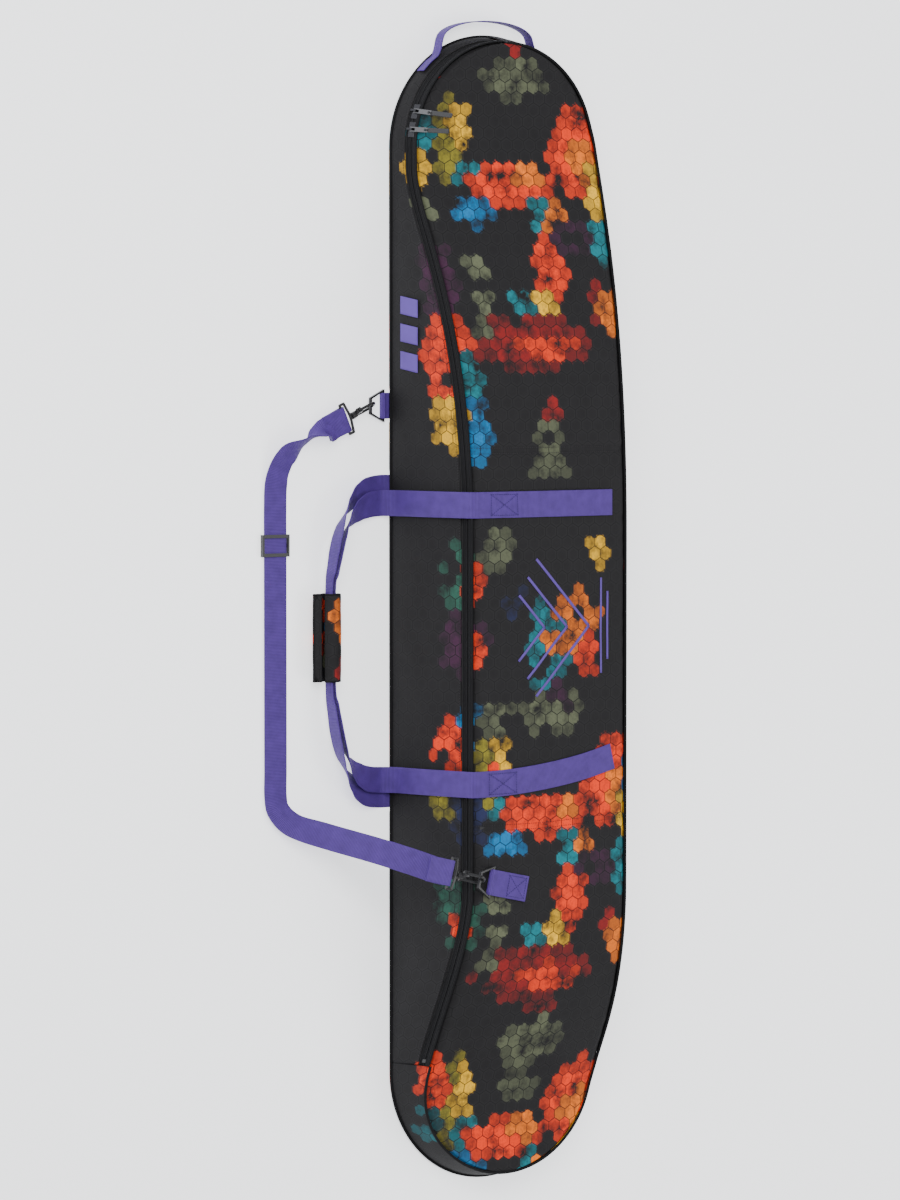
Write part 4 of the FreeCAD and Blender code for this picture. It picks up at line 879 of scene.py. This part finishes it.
def makeShoulderStrap():
    topSide, lowSide = strapSet["topSide"], strapSet["lowSide"]
    stops = [(strapSet["topBar"] + strapSet["topWay"] * 0.0046, topSide, 0.038, 0.0),
             (strapSet["topBar"] + strapSet["topWay"] * 0.020 + upZ * 0.0015, topSide, 0.038, 0.0),
             (strapSet["topBar"] + strapSet["topWay"] * 0.034 + upZ * 0.004, topSide + upZ * 0.2, 0.038, 0.001),
             stopAt(-0.2650, -0.2975, 0.0205, (0.35, 0.1, 0.93), 0.036, 0.002),
             stopAt(-0.2520, -0.3200, 0.0195, (-0.35, -0.3, 0.85), 0.036, 0.002),
             stopAt(-0.2330, -0.3470, 0.0110, (-0.62, -0.62, 0.30), 0.038, 0.0),
             stopAt(-0.2120, -0.3580, 0.0052, (-0.25, -0.95, 0.12)),
             stopAt(-0.1880, -0.3630, 0.0034, (-0.05, -1, 0))]
    for index in range(1, 12):
        x = -0.188 + 0.45 * index / 12
        stops.append(stopAt(x, strapSet["run"], 0.0032, (0, -1, 0)))
    stops += [stopAt(0.262, -0.3640, 0.0032, (0.02, -1, 0)), stopAt(0.284, -0.3590, 0.0052, (0.25, -1, 0)),
              stopAt(0.304, -0.3390, 0.0142, (0.62, -0.80, 0), 0.038, 0.001),
              stopAt(0.319, -0.3020, 0.0430, (0.93, -0.40, 0)), stopAt(0.338, -0.2520, 0.0980, (0.96, -0.30, 0)),
              stopAt(0.3545, -0.2110, 0.1340, (0.965, -0.26, 0)),
              (strapSet["lowBar"] + strapSet["lowWay"] * 0.020 - upZ * 0.004, lowSide, 0.038, 0.0),
              (strapSet["lowBar"] + strapSet["lowWay"] * 0.0046, lowSide, 0.038, 0.0)]
    strap = makeRibbon("shoulderStrap", stops, webbing, "shoulder_strap", ["shoulder_strap"])
    for name, bar, way, side in (("strapLoopUpper", "topBar", "topWay", "topSide"),
                                 ("strapLoopLower", "lowBar", "lowWay", "lowSide")):
        makeLoop(name, strapSet[bar], strapSet[way], strapSet[side], "shoulder_strap", 0.034)
    return strap


def makeLoop(name, centre, way, side, body, tail):
    way, side = way.normalized(), side.normalized()
    up = side.cross(way).normalized()
    radius = strapSet["loop"]
    stops = [(centre + way * tail + up * 0.0020, side, 0.0375),
             (centre + way * tail * 0.55 + up * 0.0021, side, 0.0375),
             (centre + way * 0.0075 + up * 0.0034, side, 0.0375)]
    for step in range(1, 10):
        turn = math.pi * (step / 10) - math.pi / 2
        stops.append((centre - way * radius * math.cos(turn) - up * radius * math.sin(turn), side, 0.0375))
    stops += [(centre + way * 0.0075 - up * 0.0034, side, 0.0375),
              (centre + way * tail * 0.55 - up * 0.0021, side, 0.0375),
              (centre + way * tail - up * 0.0020, side, 0.0375)]
    return makeRibbon(name, stops, webbing, body, [], step=0.0022)


makeShoulderStrap()


def makeTabs():
    bar = Vector((-0.302, -0.179, 0.00505))
    stops = [(bar + Vector((0, y, -0.0040)), alongX, 0.0375) for y in (0.078, 0.05, 0.02, 0.004)]
    for step in range(1, 12):
        turn = math.pi / 2 + math.pi * 1.25 * step / 11
        stops.append((bar + Vector((0, math.cos(turn), -math.sin(turn))) * strapSet["loop"], alongX, 0.0375))
    stops.append((bar + Vector((0, 0.0085, 0.0020)), alongX, 0.0375))
    makeRibbon("anchorTabUpper", stops, webbing, "bag", ["anchor_tab_upper"], step=0.0022)
    bar = Vector((0.387, -0.097, 0.1654))
    side, inward = Vector((0.9781, -0.2079, 0)), Vector((0.2079, 0.9781, 0))
    stops = []
    for reach in (0.064, 0.050, 0.036, 0.024, 0.013):
        spot = bar + inward * reach
        high = max(topSpot(spot.x + side.x * part, spot.y + side.y * part).z for part in (-0.018, 0.0, 0.018))
        stops.append((Vector((spot.x, spot.y, high + 0.0015)), side, 0.0375))
    for step in range(0, 13):
        turn = math.pi / 2 + math.pi * 1.25 * step / 12
        stops.append((bar + (inward * math.cos(turn) - upZ * math.sin(turn)) * strapSet["loop"], side, 0.0375))
    last = stops[4][0]
    stops.append((last + Vector((0, 0, 0.0030)) - inward * 0.002, side, 0.0375))
    for reach in (0.024, 0.036, 0.050, 0.064):
        spot = bar + inward * reach
        high = max(topSpot(spot.x + side.x * part, spot.y + side.y * part).z for part in (-0.018, 0.0, 0.018))
        stops.append((Vector((spot.x, spot.y, high + 0.0032)), side, 0.0375))
    makeRibbon("anchorTabLower", stops, webbing, "bag", ["anchor_tab_lower"], step=0.0022)
    square = ((0.030, -0.015), (0.060, -0.015), (0.060, 0.015), (0.030, 0.015))
    corners = [bar + inward * reach + side * part for reach, part in square]
    boxStitch("tabStitch", [(spot.x, spot.y) for spot in corners], 0.0042, "bag")


def boxStitch(name, corners, lift, body):
    lines = [(0, 1), (1, 2), (2, 3), (3, 0), (0, 2), (1, 3)]
    for number, (start, end) in enumerate(lines):
        spots = []
        for step in range(25):
            t = step / 24
            x = corners[start][0] + (corners[end][0] - corners[start][0]) * t
            y = corners[start][1] + (corners[end][1] - corners[start][1]) * t
            spots.append((topSpot(x, y, lift), upZ))
        stitchRow("%s%d" % (name, number), spots, purpleThread, body, long=0.0030, thick=0.0005,
                  pitch=0.0036)


makeTabs()
upperBox = [(-0.175, -0.094), (-0.175, -0.050), (-0.145, -0.050), (-0.145, -0.094)]
lowerBox = [(0.230, -0.098), (0.229, -0.052), (0.259, -0.052), (0.260, -0.098)]
boxStitch("strapStitchUpper", upperBox, 0.0034, "bag")
boxStitch("strapStitchLower", lowerBox, 0.0034, "bag")
print("shoulder strap and tabs made")


# ---- nose handle -------------------------------------------------------------
def makeNoseHandle():
    high, wide = 0.0140, 0.0200
    stops = []
    for turn in (47, 43, 39, 35):
        stops.append((outlinePoint(bagShape["half"] * math.radians(turn), -1, high, 0.0032), upZ, wide))
    stops += [(Vector((-0.8235, -0.0885, high)), upZ, wide), (Vector((-0.832, -0.0868, high)), upZ, wide)]
    poles = [Vector((-0.834, -0.086, high)), Vector((-0.874, -0.086, high)), Vector((-0.874, 0.074, high)),
             Vector((-0.834, 0.074, high))]
    for step in range(1, 12):
        t = step / 12
        parts = [(1 - t) ** 3, 3 * t * (1 - t) ** 2, 3 * t * t * (1 - t), t ** 3]
        stops.append((sum((parts[i] * poles[i] for i in range(4)), Vector((0, 0, 0))), upZ, wide))
    stops += [(Vector((-0.832, 0.0748, high)), upZ, wide), (Vector((-0.8245, 0.0775, high)), upZ, wide)]
    for turn in (31, 35, 39, 43):
        stops.append((outlinePoint(bagShape["half"] * math.radians(turn), 1, high, 0.0032), upZ, wide))
    obj = makeRibbon("noseHandle", stops, webbing, None, ["grab_handle", "grab_handle_ends"], columns=4)
    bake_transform(obj)


makeNoseHandle()


# ---- hand grip ---------------------------------------------------------------
gripPatches = [(-0.012, 0.905, 0.010, 0.012, "redOrange", 1, 1), (0.020, 0.918, 0.009, 0.012, "blue", 0.95, 1),
               (0.036, 0.900, 0.010, 0.012, "redOrange", 1, 1), (0.040, 0.935, 0.010, 0.010, "orange", 0.9, 1),
               (0.062, 0.915, 0.010, 0.012, "greyGreen", 0.9, 1), (0.0, 0.960, 0.014, 0.012, "orange", 0.9, 1),
               (0.080, 0.950, 0.010, 0.010, "darkRed", 0.9, 1)]
allPatches.extend(gripPatches)


def tubePiece(name, points, radius, material, body, sides=8):
    count = len(points)
    frames = []
    for index, point in enumerate(points):
        before = points[max(index - 1, 0)]
        after = points[min(index + 1, count - 1)]
        ahead = (after - before).normalized()
        lean = upZ if abs(ahead.z) < 0.9 else alongX
        side = ahead.cross(lean).normalized()
        frames.append((point, side, side.cross(ahead)))
    total = count - 1

    def place(u, v):
        point, side, up = frames[int(round(u * total))]
        turn = 2 * math.pi * v
        return point + (side * math.cos(turn) + up * math.sin(turn)) * radius
    bm = mappedGrid(total, sides, place, lambda u, v: (u * total * 0.004, v * 0.02))
    bmesh.ops.remove_doubles(bm, verts=bm.verts, dist=1e-6)
    bmesh.ops.holes_fill(bm, edges=[edge for edge in bm.edges if edge.is_boundary], sides=sides + 2)
    return nameMap(finishPiece(bm, name, material, body))


def sleeveProfile():
    y, z, r = gripSet["y"], gripSet["z"], gripSet["radius"] - 0.0018
    spots = [(y - 0.0285, z - 0.0024), (y - 0.0235, z - 0.0024), (y - 0.0190, z - 0.0026), (y - 0.0160, z - 0.0030)]
    for step in range(29):
        turn = math.radians(198 + 320 * step / 28)
        squeeze = 1 + 0.05 * math.cos(2 * turn)
        spots.append((y + r * math.cos(turn) * squeeze, z + r * math.sin(turn) / squeeze))
    return spots


def makeGrip():
    profile = sleeveProfile()
    start, end = gripSet["start"], gripSet["end"]

    def place(u, v):
        y, z = profile[int(round(v * (len(profile) - 1)))]
        x = start + 0.0018 + (end - start - 0.0036) * u
        swell = 0.0010 * math.sin(math.pi * u) + 0.0007 * noise.noise(Vector((x * 60, v * 9, 3)))
        outY, outZ = y - gripSet["y"], z - gripSet["z"]
        size = math.hypot(outY, outZ)
        return Vector((x, y + outY / size * swell * 0.5, z + outZ / size * swell * 0.5))
    bm = mappedGrid(60, len(profile) - 1, place, lambda u, v: (start + (end - start) * u, 0.88 + v * 0.10))
    sleeve = nameMap(finishPiece(bm, "gripSleeve", cloth, "haul_handle"))
    paintCells(sleeve)
    thicken(sleeve, 0.0032, 0.0006)
    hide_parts("grip_wrap")
    for name, x in (("gripBindingNose", start + 0.0016), ("gripBindingTail", end - 0.0016)):
        tubePiece(name, [Vector((x, y, z)) for y, z in profile], 0.0019, blackTape, "haul_handle")

    flapBack, flapTip = -0.2962, -0.3085
    high = gripSet["z"] + 0.0021

    def flapPlace(u, v):
        x = start + 0.0015 + (end - start - 0.003) * u
        nearEnd = min(u, 1 - u) * (end - start)
        round_ = 0.007 * (1 - smoothStep(0, 0.009, nearEnd))
        tip = flapTip + round_
        y = flapBack + (tip - flapBack) * v
        return Vector((x, y, high + 0.0004 * math.sin(math.pi * v)))
    bm = mappedGrid(48, 8, flapPlace, lambda u, v: (start + (end - start) * u, 0.98 + v * 0.014))
    flap = nameMap(finishPiece(bm, "gripFlapCover", cloth, "grip_flap"))
    paintCells(flap)
    thicken(flap, 0.0024, 0.0005)
    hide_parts("grip_flap")
    edge = [flapPlace(0.0, v / 4) for v in range(4)] + [flapPlace(u / 40, 1.0) for u in range(41)]
    edge += [flapPlace(1.0, v / 4) for v in (3, 2, 1, 0)]
    tubePiece("gripFlapBinding", edge, 0.0016, blackTape, "grip_flap")


makeGrip()
print("nose handle and grip made")


# ---- plain printed marks -----------------------------------------------------
def markStroke(name, corners, wide=0.0026):
    stops = []
    for (x0, y0), (x1, y1) in zip(corners, corners[1:]):
        ahead = Vector((x1 - x0, y1 - y0, 0)).normalized()
        across = Vector((-ahead.y, ahead.x, 0))
        count = max(int(math.hypot(x1 - x0, y1 - y0) / 0.006), 1)
        for step in range(count + 1):
            t = step / count
            spot = topSpot(x0 + (x1 - x0) * t, y0 + (y1 - y0) * t, 0.0006)
            stops.append((spot, across))
    frames = [spot for spot, _ in stops]

    def place(u, v):
        index = int(round(u * (len(frames) - 1)))
        return frames[index] + stops[index][1] * wide * (v - 0.5)
    bm = mappedGrid(len(frames) - 1, 1, place, lambda u, v: (u, v))
    obj = nameMap(finishPiece(bm, name, printPurple, "bag"))
    thicken(obj, 0.0002)
    return obj


def makeMarks():
    for number in range(3):
        reach, peak = 0.100 - number * 0.026, 0.078 - number * 0.040
        low = peak - reach * 0.95
        markStroke("markPeak%d" % number, [(0.020 + reach, low), (0.020, peak), (0.020 - reach, low)], 0.0040)
    for number in range(2):
        y = 0.100 + number * 0.012
        markStroke("markBar%d" % number, [(-0.050 + number * 0.020, y), (0.090 - number * 0.020, y)], 0.0034)
    for number in range(3):
        start = quarter + endX - 0.462 + number * 0.040

        def place(u, v):
            return outlinePoint(start + 0.026 * u + 0.006 * v, -1, 0.028 + 0.032 * v, 0.0064)
        bm = mappedGrid(8, 10, place, lambda u, v: (u, v))
        obj = nameMap(finishPiece(bm, "wallBar%d" % number, printPurple, "bag"))
        thicken(obj, 0.0002)


makeMarks()
print("marks made")


# ---- CAD pieces that keep their shape ----------------------------------------
looks = {foamLook: ["back_foam", "zip_side_foam", "plain_side_foam", "tail_foam", "front_foam"],
         liningCloth: ["back_lining", "side_lining", "front_lining", "back_seam_binding"],
         blackTape: ["grip_hook_patch", "grip_loop_patch"],
         coilMat: ["zip_end_stops"], darkMetal: ["zip_slider_nose", "zip_slider_tail"],
         greyMetal: ["zip_pull_nose", "zip_pull_tail"], softPlastic: ["pull_grip_nose", "pull_grip_tail"],
         steelMat: ["gate_pin_upper", "gate_pin_lower"],
         blackPlastic: ["ring_upper", "ring_lower", "snap_hook_upper", "snap_hook_lower", "hook_gate_upper",
                        "hook_gate_lower", "swivel_eye_upper", "swivel_eye_lower", "tri_glide"]}
for material, nodes in looks.items():
    for node in nodes:
        for obj in [o for o in bpy.data.objects if o.type == "MESH" and o.name == node]:
            obj.data.materials.clear()
            obj.data.materials.append(material)


def makeFloor():
    bm = bmesh.new()
    bmesh.ops.create_grid(bm, x_segments=1, y_segments=1, size=6)
    mesh = bpy.data.meshes.new("floor")
    bm.to_mesh(mesh)
    bm.free()
    obj = bpy.data.objects.new("floor", mesh)
    bpy.context.scene.collection.objects.link(obj)
    mat = bpy.data.materials.new("paleFloor")
    mat.use_nodes = True
    shader = mat.node_tree.nodes["Principled BSDF"]
    shader.inputs["Base Color"].default_value = (0.90, 0.91, 0.92, 1)
    shader.inputs["Roughness"].default_value = 0.9
    shader.inputs["Emission Color"].default_value = (0.96, 0.97, 1.0, 1)
    shader.inputs["Emission Strength"].default_value = 1.1
    mesh.materials.append(mat)


makeCamera()
makeLights()
makeFloor()
print("camera, lights and floor made")
